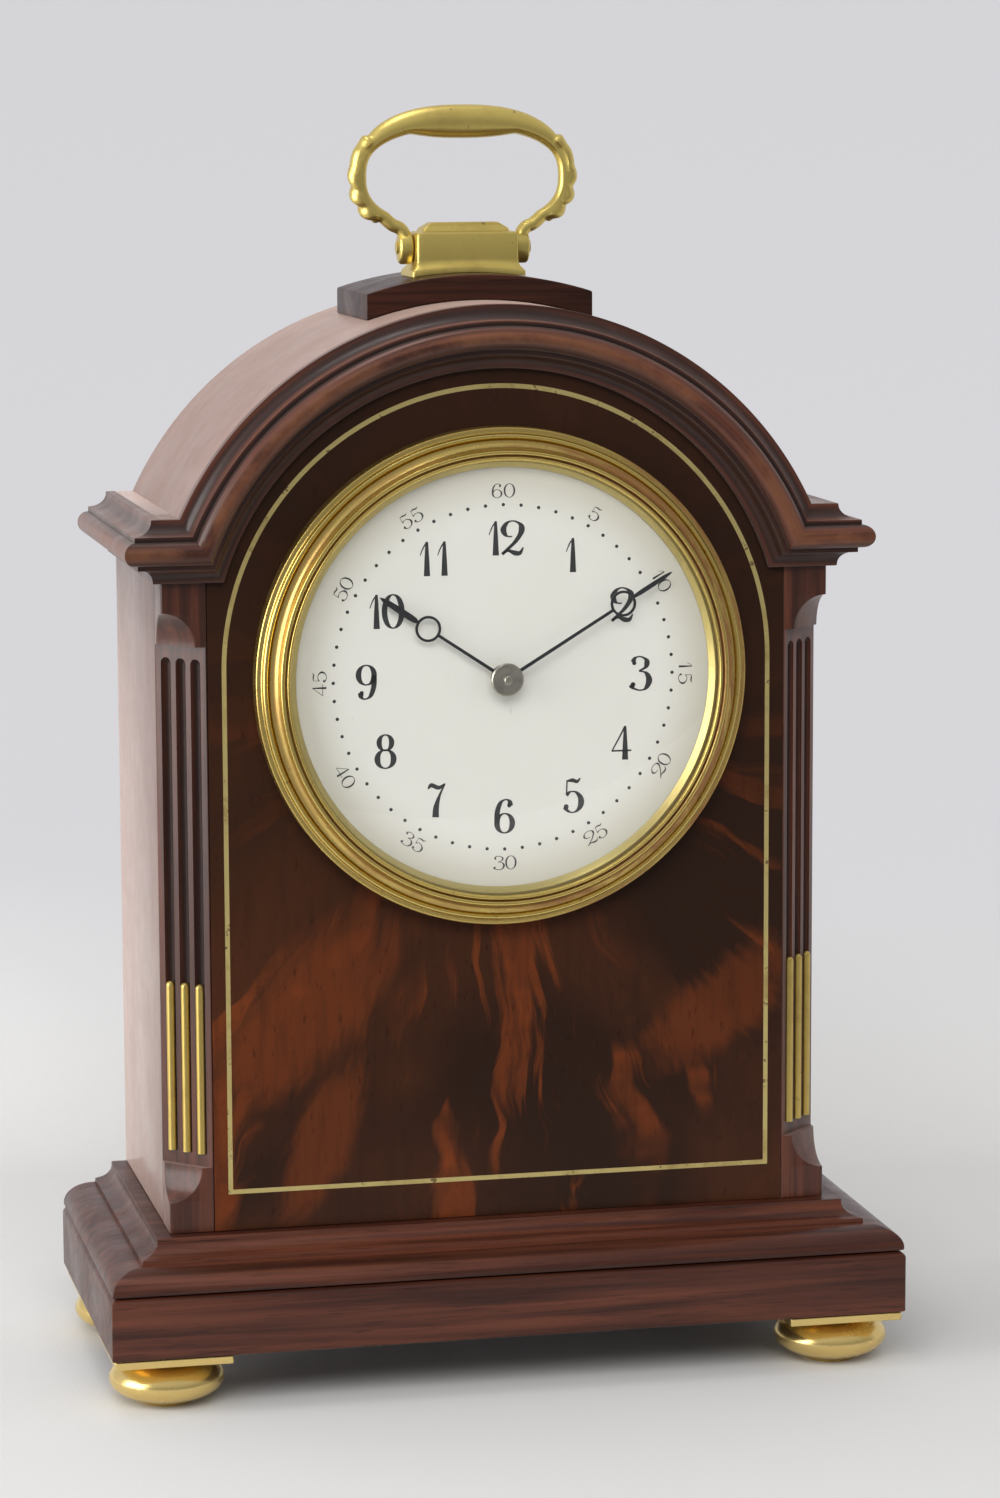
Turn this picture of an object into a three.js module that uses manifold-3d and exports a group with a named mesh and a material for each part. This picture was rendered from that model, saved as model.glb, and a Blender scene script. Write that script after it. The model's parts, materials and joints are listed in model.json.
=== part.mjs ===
// A mahogany break-arch bracket clock with a glazed brass bezel, a lifting handle on a pad,
// canted fluted corners and a round thirty-hour movement that is wound and set from behind.
// Millimetres, +Z up, front towards -Y. Pieces are drawn from the case's front face (y = 0)
// and the ground (z = 0), and the whole clock is moved at the end so that it stands centred.
import * as THREE from 'three';
import { mergeVertices } from 'three/addons/utils/BufferGeometryUtils.js';
import Module from 'manifold-3d';

const wasm = await Module();
wasm.setup();

// clearances
const seat = 0.2; // between pieces that are glued, screwed or rest on each other
const running = 0.25; // around arbors, pipes and pins that turn
const mitreGap = 0.2;

// case
const caseWidth = 161.4;
const caseDepth = 77;
const caseHeight = 170.4; // from the top of the plinth to the top of the cornice
const boardThickness = 8;
const frontThickness = 9;
const backThickness = 8;
const archSpread = 3.4; // the roof's radius is this much more than half the case's width
const archDrop = 35.4; // from the top of the cornice down to the arch's centre
const roofThickness = 8;

// plinth and feet
const footHeight = 13.7;
const footDiameter = 27.6;
const footPlate = 28;
const footPlateThickness = 2;
const footInset = 0.8; // from the plinth's edge to the foot plate
const plinthProjection = 16.4;
const bandHeight = 14.9;
const bandChamfer = 1;
const ovoloProjection = 16.1;
const ovoloHeight = 4.7;
const ovoloDepth = 7.1;
const plinthFillet = 8; // projection of the middle fillet
const plinthFilletHeight = 1.1;
const plinthCove = 3.2;
const plinthTopProjection = 3.8;
const plinthTopFillet = 0.8;

// cornice
const corniceHeight = 15;
const corniceTop = 2.2; // projection of the top flat
const coveOut = 4.1;
const coveDrop = 3.3;
const noseRadius = 2.75;
const noseProjection = 9.4;
const filletDrop = 1.2;
const lowerCove = 3.4;
const lowerCoveDrop = 3;
const corniceFoot = 2;

// canted corners
const cantLeg = 10.4;
const tongueLeg = 8;
const tongueRise = 8.2;
const panelFoot = 15.5; // from the case's bottom to the foot of the fluted face
const panelHead = 30.3; // from the top of the cornice down to its head
const arris = 0.3;
const tongueSteps = 4;
const fluteCount = 3;
const flutePitch = 4.3;
const fluteRadius = 1.45;
const fluteMargin = 3;
const rodRadius = 1.1;
const rodLength = 41;

// brass line let into the front
const stringInset = 14.7; // from the case's side to the line's middle
const stringFoot = 9.3; // from the case's bottom to the line's middle
const stringWidth = 1.3;
const stringDepth = 1;
const stringArchDrop = 1.1; // the line's arch is struck from a little below the roof's

// pad and carrying handle
const padWidth = 55.2;
const padDepth = 38.6;
const padThickness = 6;
const pedestalWidth = 25;
const pedestalDepth = 12;
const pedestalHeight = 9.6;
const pedestalFlare = 1.7;
const flangeHeight = 1.6;
const capWidth = 21.6;
const capDepth = 8;
const capHeight = 2.2;
const pivotHeight = 5.8; // above the pad
const bailWidth = 50.4; // between the middles of the two arms
const bailDrop = 12.9; // half the height of the bail's opening, to the middle of the bar
const bailRise = 30; // from the pivot to the middle of the grip
const bailSquareness = 2.5;
const armThickness = 1.75;
const gripThickness = 4;
const leafThickness = 1.4;
const leafNotches = 4;
const knuckleRadius = 3.9;
const knuckleThickness = 3.4;
const handlePinRadius = 1.5;
const bailSteps = 30;

// dial, bezel and glass
const dialDrop = 3.7; // from the arch's centre down to the dial's
const sightRadius = 49; // the dial that shows
const sightWidth = 2.6; // from the dial that shows out to the bezel's lip
const bezelWidth = 7.7; // from the lip to the bezel's edge
const ovoloOut = 2; // crests, measured out from the lip
const ridgeOut = 5;
const bezelRim = 4.9; // depth of the bezel's outer edge
const bezelDepth = 9.2;
const lipThickness = 0.7;
const glassLap = 1; // of the glass behind the lip
const glassThickness = 1.1;
const glassSag = 7.8;
const glassFullness = 2.6; // 2 is part of a sphere, more is flatter with a steeper edge
const dialLap = 1.4; // of the dial behind the sight ring
const dialFront = 5.2; // in front of the case
const dialThickness = 1;
const seatFlangeInset = 2.9; // from the bezel's edge to the seat's flange
const seatFlangeThickness = 2.6;
const sleeveWall = 1.3; // from the dial's edge to the outside of the seat's sleeve
const sleeveFit = 0.3; // round the sleeve in the front panel
const seatWall = 1.8;
const seatLength = 12; // how far the seat's sleeve reaches behind the case's front
const round = 32; // facets round the large turned pieces

// movement
const plateRadius = 40;
const plateThickness = 2;
const frontPlateBack = 5; // where the front plate starts, behind the case's front
const plateGap = 38;
const platformLift = 36; // from the centre up to the plates' seat for the platform
const pillarRadius = 2.6;
const pillarCircle = 35;
const pivotRadius = 0.9;
const greatModule = 0.64;
const centreModule = 0.55;
const thirdModule = 0.45;
const contrateModule = 0.5;
const wheelThickness = 1.4;
const pinionLeaves = 6;
const centrePinionLeaves = 8;
const greatTeeth = 56;
const centreTeeth = 60;
const thirdTeeth = 60;
const contrateTeeth = 36;
const escapePinionLeaves = 6;
const escapeTeeth = 15;
const escapeRadius = 4;
const drumRadius = 16;
const drumLength = 22;
const ratchetTeeth = 24;
const ratchetRadius = 8;
const squareSide = 3.4;
const squareReach = 12; // behind the back plate
const setKnobRadius = 4;
const setKnobLength = 3.6;
const dialFootRadius = 1.5;
const dialFootCircle = 30;

// motion work and hands
const cannonModule = 0.75;
const cannonTeeth = 8;
const minuteWheelTeeth = 24;
const minutePinionLeaves = 6;
const hourTeeth = 24;
const pipeWall = 0.7;
const motionLift = 1.8; // of the minute wheel off the front plate
const motionThickness = 1.2;
const hourHandReach = 36.1;
const hourRing = 22.3; // from the centre to the middle of the open ring
const hourHandAngle = 303.7;
const minuteHandReach = 47;
const minuteRing = 33.1;
const minuteHandAngle = 58.8;
const handRingRadius = 3.1;
const handThickness = 0.4;
const handFit = 0.15; // between a hand's bore and its pipe
const handLift = 1.6; // of the hour hand above the dial
const handStep = 0.8; // from the hour hand to the minute hand
const bossRadius = 3.9;
const bossHeight = 1.9;

// platform escapement
const platformThickness = 1.8;
const platformWidth = 24;
const balanceRadius = 8.5;
const balanceRim = 1.1;
const balanceHeight = 6.2; // above the platform
const leverReach = 7;
const staffRadius = 0.35;

// back
const backHole = 42.5;
const ringFlange = 51;
const ringFlangeThickness = 1.8;
const ringWall = 1.8;
const doorRadius = 43;
const doorThickness = 1.2;
const doorRim = 1;
const hingeRadius = 1.5;
const knobRadius = 2.6;
const knobHeight = 4.4;
const strapWidth = 7;
const strapThickness = 2;
const strapAngle = 24; // below the level of the dial's centre
const strapFootThickness = 2.8;
const screwCircle = 46;
const screwRadius = 1.1;
const screwHead = 2.2;

// levels worked out from the sizes above
const half = caseWidth / 2;
const archRadius = half + archSpread;
const plinthBottom = footHeight + seat;
const plinthMid = plinthBottom + bandHeight;
const ovoloFoot = plinthMid + seat + bandChamfer;
const filletFoot = ovoloFoot + ovoloHeight;
const coveFoot = filletFoot + plinthFilletHeight;
const plinthTop = coveFoot + plinthCove + plinthTopFillet;
const caseBottom = plinthTop + seat;
const caseTop = caseBottom + caseHeight;
const archCentre = caseTop - archDrop;
const dialZ = archCentre - dialDrop;
const dialRadius = sightRadius + dialLap;
const lipRadius = sightRadius + sightWidth;
const glassRadius = lipRadius + glassLap;
const ovoloRadius = lipRadius + ovoloOut;
const ridgeRadius = lipRadius + ridgeOut;
const bezelRadius = lipRadius + bezelWidth;
const seatFlange = bezelRadius - seatFlangeInset;
const sleeveRadius = dialRadius + sleeveWall;
const panelHole = sleeveRadius + sleeveFit;
const doorBack = caseDepth + seat + ringFlangeThickness + seat + doorThickness;
const rearMost = doorBack + doorRim + knobHeight;

const mahogany = new THREE.MeshStandardMaterial({ color: 0x3a1a10, roughness: 0.28, metalness: 0 });
const flame = new THREE.MeshStandardMaterial({ color: 0x2e130b, roughness: 0.22, metalness: 0 });
const castBrass = new THREE.MeshStandardMaterial({ color: 0xa08a3c, roughness: 0.35, metalness: 1 });
const turnedBrass = new THREE.MeshStandardMaterial({ color: 0xb0933f, roughness: 0.25, metalness: 1 });
const clockBrass = new THREE.MeshStandardMaterial({ color: 0xb89a4c, roughness: 0.35, metalness: 1 });
const steel = new THREE.MeshStandardMaterial({ color: 0x55565a, roughness: 0.3, metalness: 1 });
const bluedSteel = new THREE.MeshStandardMaterial({ color: 0x2a2a2c, roughness: 0.35, metalness: 0.9 });
const silvered = new THREE.MeshStandardMaterial({ color: 0xd8d6cc, roughness: 0.4, metalness: 0.3 });
const glassMaterial = new THREE.MeshStandardMaterial({
  color: 0xf2f6f6, roughness: 0.03, metalness: 0, transparent: true, opacity: 0.2,
});

const clock = new THREE.Group();

// helpers
function add(name, geometry, material) {
  const mesh = new THREE.Mesh(geometry, material);
  mesh.name = name;
  clock.add(mesh);
  return mesh;
}

function toSolid(geometry) {
  const bare = geometry.clone();
  bare.deleteAttribute('normal');
  bare.deleteAttribute('uv');
  const merged = mergeVertices(bare, 1e-4);
  const index = merged.index.array;
  const kept = [];
  for (let i = 0; i < index.length; i += 3) {
    const [a, b, c] = [index[i], index[i + 1], index[i + 2]];
    if (a !== b && b !== c && c !== a) kept.push(a, b, c);
  }
  return new wasm.Manifold(new wasm.Mesh({
    numProp: 3,
    vertProperties: merged.attributes.position.array,
    triVerts: new Uint32Array(kept),
  }));
}

function toGeometry(solid) {
  const found = solid.getMesh();
  const geometry = new THREE.BufferGeometry();
  geometry.setAttribute('position', new THREE.BufferAttribute(new Float32Array(found.vertProperties), 3));
  geometry.setIndex(Array.from(found.triVerts));
  geometry.computeVertexNormals();
  return geometry;
}

const joined = (...parts) => toGeometry(parts.map(toSolid).reduce((all, next) => all.add(next)));
const cut = (body, ...tools) =>
  toGeometry(tools.map(toSolid).reduce((all, next) => all.subtract(next), toSolid(body)));

// A skin over rings of points that all have the same count; flat ends follow the outline given.
function loft(rings, outline) {
  const count = rings[0].length;
  const points = rings.flat().flatMap((p) => [p.x, p.y, p.z]);
  const faces = [];
  const last = outline ? rings.length - 1 : rings.length;
  for (let r = 0; r < last; r += 1) {
    const here = r * count;
    const next = ((r + 1) % rings.length) * count;
    for (let i = 0; i < count; i += 1) {
      const j = (i + 1) % count;
      faces.push([here + i, here + j, next + j], [here + i, next + j, next + i]);
    }
  }
  if (outline) {
    const end = (rings.length - 1) * count;
    for (const [a, b, c] of THREE.ShapeUtils.triangulateShape(outline.map((p) => p.clone()), [])) {
      const turn = THREE.ShapeUtils.isClockWise(outline) ? [a, b, c] : [a, c, b];
      faces.push(turn, [end + turn[0], end + turn[2], end + turn[1]]);
    }
  }
  let volume = 0;
  const corner = (i) => new THREE.Vector3(points[3 * i], points[3 * i + 1], points[3 * i + 2]);
  for (const [a, b, c] of faces) volume += corner(a).dot(corner(b).cross(corner(c)));
  const turned = volume < 0 ? faces.map(([a, b, c]) => [a, c, b]) : faces;
  const geometry = new THREE.BufferGeometry();
  geometry.setAttribute('position', new THREE.BufferAttribute(new Float32Array(points), 3));
  geometry.setIndex(turned.flat());
  geometry.computeVertexNormals();
  return geometry;
}

// A closed profile of [radius, y] turned about the Y axis.
function turned(profile, facets = round) {
  const points = profile.map(([r, y]) => new THREE.Vector2(r, y));
  if (THREE.ShapeUtils.isClockWise(points)) points.reverse();
  points.push(points[0].clone());
  return new THREE.LatheGeometry(points, facets);
}

function turnedUp(profile, facets) {
  return turned(profile, facets).rotateX(Math.PI / 2);
}

// An outline in X and Z made solid between two depths.
function slab(shape, front, back, facets = 8) {
  const geometry = new THREE.ExtrudeGeometry(shape, {
    depth: back - front, bevelEnabled: false, curveSegments: facets,
  });
  return geometry.rotateX(Math.PI / 2).translate(0, back, 0);
}

// An outline in X and Y made solid between two heights.
function sheet(shape, low, high, facets = 8) {
  return new THREE.ExtrudeGeometry(shape, {
    depth: high - low, bevelEnabled: false, curveSegments: facets,
  }).translate(0, 0, low);
}

function box(x0, x1, y0, y1, z0, z1) {
  return new THREE.BoxGeometry(x1 - x0, y1 - y0, z1 - z0)
    .translate((x0 + x1) / 2, (y0 + y1) / 2, (z0 + z1) / 2);
}

function rod(x, z, radius, front, back, facets = 12) {
  return new THREE.CylinderGeometry(radius, radius, back - front, facets)
    .translate(x, (front + back) / 2, z);
}

function post(x, y, radius, low, high, facets = 12) {
  return new THREE.CylinderGeometry(radius, radius, high - low, facets)
    .rotateX(Math.PI / 2).translate(x, y, (low + high) / 2);
}

function arc(cx, cy, rx, ry, from, to, steps) {
  const points = [];
  for (let i = 0; i <= steps; i += 1) {
    const t = THREE.MathUtils.degToRad(from + ((to - from) * i) / steps);
    points.push(new THREE.Vector2(cx + rx * Math.cos(t), cy + ry * Math.sin(t)));
  }
  return points;
}

// plinth
// Each height of the plinth is a rectangle that stands out at the front and the two sides.
function steppedBase(profile) {
  const rings = profile.map(({ x: out, y: z }) => [
    new THREE.Vector3(-half - out, -out, z), new THREE.Vector3(half + out, -out, z),
    new THREE.Vector3(half + out, caseDepth, z), new THREE.Vector3(-half - out, caseDepth, z),
  ]);
  const flat = rings[0].map((p) => new THREE.Vector2(p.x, p.y));
  return loft(rings, flat);
}

function makePlinth() {
  const v = (x, y) => new THREE.Vector2(x, y);
  add('plinth_band', steppedBase([
    v(plinthProjection, plinthBottom),
    v(plinthProjection, plinthMid - bandChamfer),
    v(plinthProjection - bandChamfer, plinthMid),
  ]), mahogany);
  const foot = plinthMid + seat;
  add('plinth_moulding', steppedBase([
    v(ovoloProjection - bandChamfer, foot),
    ...arc(ovoloProjection - ovoloDepth, ovoloFoot, ovoloDepth, ovoloHeight, 0, 90, 6),
    v(plinthFillet, filletFoot),
    v(plinthFillet, coveFoot),
    ...arc(plinthFillet, coveFoot + plinthCove,
      plinthFillet - plinthTopProjection, plinthCove, 262, 180, 4),
    v(plinthTopProjection, plinthTop),
  ]), mahogany);
}

function makeFeet() {
  const r = footDiameter / 2;
  const bun = footHeight - footPlateThickness;
  const reach = half + plinthProjection - footInset - footPlate / 2;
  const front = -plinthProjection + footInset + footPlate / 2;
  const back = caseDepth - footInset - footPlate / 2;
  const profile = [[0, 0], [r * 0.5, 0],
    ...arc(0, bun / 2, r, bun / 2, -58, 62, 4).map((p) => [p.x, p.y]),
    [r * 0.42, bun], [0, bun]];
  const spots = {
    front_left: [-reach, front],
    front_right: [reach, front],
    rear_left: [-reach, back],
    rear_right: [reach, back],
  };
  for (const [where, [x, y]] of Object.entries(spots)) {
    const ball = turnedUp(profile, 14);
    const plate = box(-footPlate / 2, footPlate / 2, -footPlate / 2, footPlate / 2, bun - 0.1, footHeight);
    add('foot_' + where, joined(ball, plate).translate(x, y, 0), castBrass);
  }
}

// case
// The canted corner: a square post whose front arris is cut back, with a lamb's tongue at each end.
function cornerPost(side) {
  const levels = [];
  const foot = caseBottom + panelFoot;
  const head = caseTop - panelHead;
  levels.push([arris, caseBottom]);
  const rise = [];
  for (let i = 0; i <= tongueSteps; i += 1) {
    const t = (Math.PI * i) / (2 * tongueSteps);
    rise.push([Math.max(arris, tongueLeg * Math.sin(t)), tongueRise * Math.cos(t)]);
  }
  rise.forEach(([leg, away]) => levels.push([leg, foot - away]));
  levels.push([cantLeg, foot], [cantLeg, head]);
  [...rise].reverse().forEach(([leg, away]) => levels.push([leg, head + away]));
  levels.push([arris, caseTop]);
  const size = cantLeg + 0.2;
  const section = (leg) => [
    [half, leg], [half, size], [half - size, size], [half - size, 0], [half - leg, 0],
  ];
  const rings = levels.map(([leg, z]) => section(leg).map(([x, y]) => new THREE.Vector3(side * x, y, z)));
  const outline = section(arris).map(([x, y]) => new THREE.Vector2(side * x, y));
  const body = loft(rings, outline);
  const flutes = fluteSpots(side).map(({ x, y }) => {
    const bottom = foot + fluteMargin;
    const top = head - fluteMargin - fluteRadius;
    const trunk = post(x, y, fluteRadius, bottom, top, 8);
    const crown = new THREE.SphereGeometry(fluteRadius, 8, 4).rotateX(Math.PI / 2).translate(x, y, top);
    return joined(trunk, crown);
  });
  return cut(body, ...flutes);
}

// Where the flutes stand across the canted face, seen from above.
function fluteSpots(side) {
  const spots = [];
  for (let i = 0; i < fluteCount; i += 1) {
    const along = ((i - (fluteCount - 1) / 2) * flutePitch) / Math.SQRT2;
    spots.push({ x: side * (half - cantLeg / 2 - along), y: cantLeg / 2 - along });
  }
  return spots;
}

function archedOutline(halfWidth, bottom, radius, shoulder, steps) {
  const shape = new THREE.Shape();
  const rise = Math.sqrt(radius * radius - halfWidth * halfWidth);
  const spring = archCentre + rise;
  shape.moveTo(-halfWidth, bottom);
  shape.lineTo(halfWidth, bottom);
  shape.lineTo(halfWidth, Math.min(spring, shoulder));
  const reach = Math.acos(halfWidth / radius);
  arc(0, archCentre, radius, radius, THREE.MathUtils.radToDeg(reach),
    180 - THREE.MathUtils.radToDeg(reach), steps).forEach((p) => shape.lineTo(p.x, p.y));
  shape.lineTo(-halfWidth, Math.min(spring, shoulder));
  return shape;
}

// The line's path: straight sides, square foot and an arched head.
function stringPath(offset) {
  const x = half - stringInset + offset;
  const centre = archCentre - stringArchDrop;
  const foot = caseBottom + stringFoot - offset;
  return [new THREE.Vector2(-x, foot), new THREE.Vector2(x, foot),
    ...arc(0, centre, x, x, 0, 180, 24)];
}

function loopShape(outer, inner) {
  const shape = new THREE.Shape(outer);
  shape.holes.push(new THREE.Path(inner));
  return shape;
}

function makeFront() {
  const gap = 0.05;
  const panelHalf = half - cantLeg - 0.2 - seat;
  const inner = archRadius - roofThickness - seat;
  const outline = archedOutline(panelHalf, caseBottom, inner, caseTop, 24);
  const hole = new THREE.Path(arc(0, dialZ, panelHole, panelHole, 0, 360, round).slice(0, -1));
  outline.holes.push(hole);
  const panel = slab(outline, 0, frontThickness);
  const groove = slab(
    loopShape(stringPath(stringWidth / 2 + gap), stringPath(-stringWidth / 2 - gap)),
    -1, stringDepth + gap,
  );
  add('front_panel', cut(panel, groove), flame);
  const line = loopShape(stringPath(stringWidth / 2), stringPath(-stringWidth / 2));
  add('brass_line', slab(line, 0, stringDepth), turnedBrass);
}

function makeCarcase() {
  const inside = half - boardThickness;
  const sideFront = cantLeg + 0.2 + seat;
  for (const [hand, side] of [['left', -1], ['right', 1]]) {
    add('corner_post_' + hand, cornerPost(side), mahogany);
    const [a, b] = side < 0 ? [-half, -inside] : [inside, half];
    add('side_' + hand, box(a, b, sideFront, caseDepth, caseBottom, caseTop), mahogany);
  }
  const backHalf = inside - seat;
  const inner = archRadius - roofThickness - seat;
  const back = archedOutline(backHalf, caseBottom, inner, caseTop, 18);
  back.holes.push(new THREE.Path(arc(0, dialZ, backHole, backHole, 0, 360, round).slice(0, -1)));
  const screws = strapSides.map((a) => {
    const t = THREE.MathUtils.degToRad(a);
    const x = screwCircle * Math.cos(t);
    return rod(x, dialZ + screwCircle * Math.sin(t), screwRadius + seat, 0, caseDepth * 2);
  });
  add('back_panel', cut(slab(back, caseDepth - backThickness, caseDepth), ...screws), mahogany);
  const low = caseTop + seat;
  const lift = low - archCentre;
  const angle = (r) => THREE.MathUtils.radToDeg(Math.asin(lift / r));
  const under = archRadius - roofThickness;
  const roof = new THREE.Shape([
    ...arc(0, archCentre, archRadius, archRadius, angle(archRadius), 180 - angle(archRadius), 24),
    ...arc(0, archCentre, under, under, 180 - angle(under), angle(under), 24),
  ]);
  add('roof_arch', slab(roof, 0, caseDepth), mahogany);
}

// The cornice's profile: x stands out from the case, y is the depth below its top.
function corniceProfile() {
  const coveEnd = corniceTop + coveOut;
  const coveBottom = 0.3 + coveDrop;
  const noseMiddle = coveBottom + filletDrop + noseRadius;
  const noseFoot = noseMiddle + noseRadius;
  const lowTop = noseFoot + filletDrop;
  const lowOut = corniceFoot + lowerCove;
  return [
    new THREE.Vector2(0, 0), new THREE.Vector2(corniceTop, 0),
    ...arc(coveEnd, 0.3, coveOut, coveDrop, 180, 90, 3),
    new THREE.Vector2(coveEnd + 0.4, coveBottom),
    ...arc(noseProjection - noseRadius, noseMiddle, noseRadius, noseRadius, -80, 80, 5),
    new THREE.Vector2(lowOut + 0.6, lowTop),
    ...arc(lowOut, lowTop + lowerCoveDrop, lowerCove, lowerCoveDrop, -90, -180, 3),
    new THREE.Vector2(corniceFoot, corniceHeight), new THREE.Vector2(0, corniceHeight),
  ];
}

function makeCornice() {
  const profile = corniceProfile();
  const steps = 22;
  const rings = [];
  const mitre = profile.map(({ y: drop }) => {
    const r = archRadius - drop;
    const z = caseTop - drop;
    return { r, z, x: Math.sqrt(r * r - (z - archCentre) ** 2) };
  });
  const corner = (side) => profile.map(({ x: out, y: drop }) =>
    new THREE.Vector3(side * (half + out), -out, caseTop - drop));
  rings.push(corner(1));
  for (let i = 0; i <= steps; i += 1) {
    rings.push(profile.map(({ x: out }, k) => {
      const start = Math.atan2(mitre[k].z - archCentre, mitre[k].x);
      const t = start + ((Math.PI - 2 * start) * i) / steps;
      return new THREE.Vector3(mitre[k].r * Math.cos(t), -out, archCentre + mitre[k].r * Math.sin(t));
    }));
  }
  rings.push(corner(-1));
  add('cornice_front', loft(rings, profile).translate(0, -seat, 0), mahogany);
  for (const [hand, side] of [['left', -1], ['right', 1]]) {
    const station = (y) => profile.map(({ x: out, y: drop }) =>
      new THREE.Vector3(side * (half + seat + out), y - (y < caseDepth ? out : 0), caseTop - drop));
    add('cornice_' + hand, loft([station(mitreGap + seat), station(caseDepth)], profile), mahogany);
  }
}

// pad and handle
const padTop = archRadius + seat + padThickness;
const handleY = caseDepth / 2;
const pivotZ = archCentre + padTop + pivotHeight;

function archBand(halfWidth, low, high, steps) {
  const reach = (r) => THREE.MathUtils.radToDeg(Math.acos(halfWidth / r));
  return new THREE.Shape([
    ...arc(0, archCentre, high, high, reach(high), 180 - reach(high), steps),
    ...arc(0, archCentre, low, low, 180 - reach(low), reach(low), steps),
  ]);
}

function makePad() {
  const front = handleY - padDepth / 2;
  const band = archBand(padWidth / 2, archRadius + seat, padTop, 14);
  add('top_pad', slab(band, front, front + padDepth), mahogany);
}

function makePedestal() {
  const base = padTop + seat;
  const flange = archBand(pedestalWidth / 2 + pedestalFlare, base, base + flangeHeight, 8);
  const deep = pedestalDepth / 2 + pedestalFlare;
  const top = archCentre + base + pedestalHeight;
  const low = archCentre + base + flangeHeight / 2;
  const pw = pedestalWidth / 2;
  const cw = capWidth / 2;
  const block = box(-pw, pw, handleY - pedestalDepth / 2, handleY + pedestalDepth / 2, low - 1, top);
  const cap = new THREE.Shape([
    new THREE.Vector2(-cw, top - 0.5), new THREE.Vector2(cw, top - 0.5),
    ...arc(0, top + 0.8, cw, capHeight - 0.8, 0, 180, 8),
  ]);
  const body = joined(slab(flange, handleY - deep, handleY + deep), block,
    slab(cap, handleY - capDepth / 2, handleY + capDepth / 2));
  const bore = new THREE.CylinderGeometry(handlePinRadius + seat, handlePinRadius + seat, caseWidth, 16)
    .rotateZ(Math.PI / 2).translate(0, handleY, pivotZ);
  add('handle_pedestal', cut(body, bore), castBrass);
  const reach = pw + running + knuckleThickness + 0.4;
  const pin = new THREE.CylinderGeometry(handlePinRadius, handlePinRadius, 2 * reach, 16)
    .rotateZ(Math.PI / 2).translate(0, handleY, pivotZ);
  add('handle_pin', pin, castBrass);
}

// The bail follows a squared oval; its outer side carries a leaf with notches low on each arm.
function makeBail() {
  const a = bailWidth / 2;
  const middle = pivotZ + bailRise - bailDrop;
  const knuckleX = pedestalWidth / 2 + running + knuckleThickness / 2;
  const start = -Math.acos((knuckleX / a) ** (bailSquareness / 2));
  const point = (t) => {
    const c = Math.cos(t);
    const s = Math.sin(t);
    const k = 2 / bailSquareness;
    return new THREE.Vector3(
      Math.sign(c) * a * Math.abs(c) ** k, handleY, middle + Math.sign(s) * bailDrop * Math.abs(s) ** k,
    );
  };
  const rings = [];
  const facets = 8;
  const ringAt = (at, out, inward, outward, wide) => {
    const ring = [];
    for (let i = 0; i < facets; i += 1) {
      const w = (2 * Math.PI * i) / facets;
      const r = Math.cos(w) > 0 ? outward : inward;
      const spot = at.clone().addScaledVector(out, r * Math.cos(w));
      spot.y += wide * Math.sin(w);
      ring.push(spot);
    }
    return ring;
  };
  const foot = new THREE.Vector3(knuckleX, handleY, pivotZ + 1);
  const sideways = new THREE.Vector3(1, 0, 0);
  rings.push(ringAt(foot, sideways, knuckleThickness / 2 - 0.1, knuckleThickness / 2 - 0.1, 2.6));
  for (let i = 0; i <= bailSteps; i += 1) {
    const t = start + ((Math.PI - 2 * start) * i) / bailSteps;
    const here = point(t);
    const way = point(t + 0.01).sub(point(t - 0.01)).normalize();
    const out = new THREE.Vector3(way.z, 0, -way.x);
    const top = Math.max(0, Math.sin(t)) ** 2.2;
    const low = THREE.MathUtils.clamp((Math.sin(0.45) - Math.sin(t)) / 0.15, 0, 1);
    const down = (Math.sin(0.45) - Math.sin(t)) * leafNotches;
    const notch = 0.55 + 0.45 * Math.cos(2 * Math.PI * down);
    const thick = armThickness + (gripThickness - armThickness) * top;
    rings.push(ringAt(here, out, thick, thick + leafThickness * low * notch, thick * (1 + 0.35 * low)));
  }
  rings.push(ringAt(foot.clone().setX(-knuckleX), sideways.clone().negate(),
    knuckleThickness / 2 - 0.1, knuckleThickness / 2 - 0.1, 2.6));
  const outline = [];
  for (let i = 0; i < facets; i += 1) {
    const w = (2 * Math.PI * i) / facets;
    outline.push(new THREE.Vector2(Math.cos(w), Math.sin(w)));
  }
  const knuckle = (side) => new THREE.CylinderGeometry(knuckleRadius, knuckleRadius, knuckleThickness, 16)
    .rotateZ(Math.PI / 2).translate(side * knuckleX, handleY, pivotZ);
  const body = joined(loft(rings, outline), knuckle(-1), knuckle(1));
  const bore = new THREE.CylinderGeometry(handlePinRadius + running, handlePinRadius + running, caseWidth, 16)
    .rotateZ(Math.PI / 2).translate(0, handleY, pivotZ);
  add('handle_bail', cut(body, bore), castBrass);
}

// brass rods in the feet of the flutes
function makeRods() {
  for (const [hand, side] of [['left', -1], ['right', 1]]) {
    fluteSpots(side).forEach(({ x, y }, i) => {
      const foot = caseBottom + panelFoot + fluteMargin + seat;
      const top = foot + rodLength - rodRadius;
      const trunk = post(x, y, rodRadius, foot, top, 8);
      const dome = new THREE.SphereGeometry(rodRadius, 8, 4).rotateX(Math.PI / 2).translate(x, y, top);
      add('flute_rod_' + hand + '_' + (i + 1), joined(trunk, dome), castBrass);
    });
  }
}


// dial, bezel and glass
function atDial(geometry) {
  return geometry.translate(0, 0, dialZ);
}

const dialBack = -dialFront + dialThickness;
const glassBack = -bezelDepth + lipThickness + seat + glassThickness;

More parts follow.
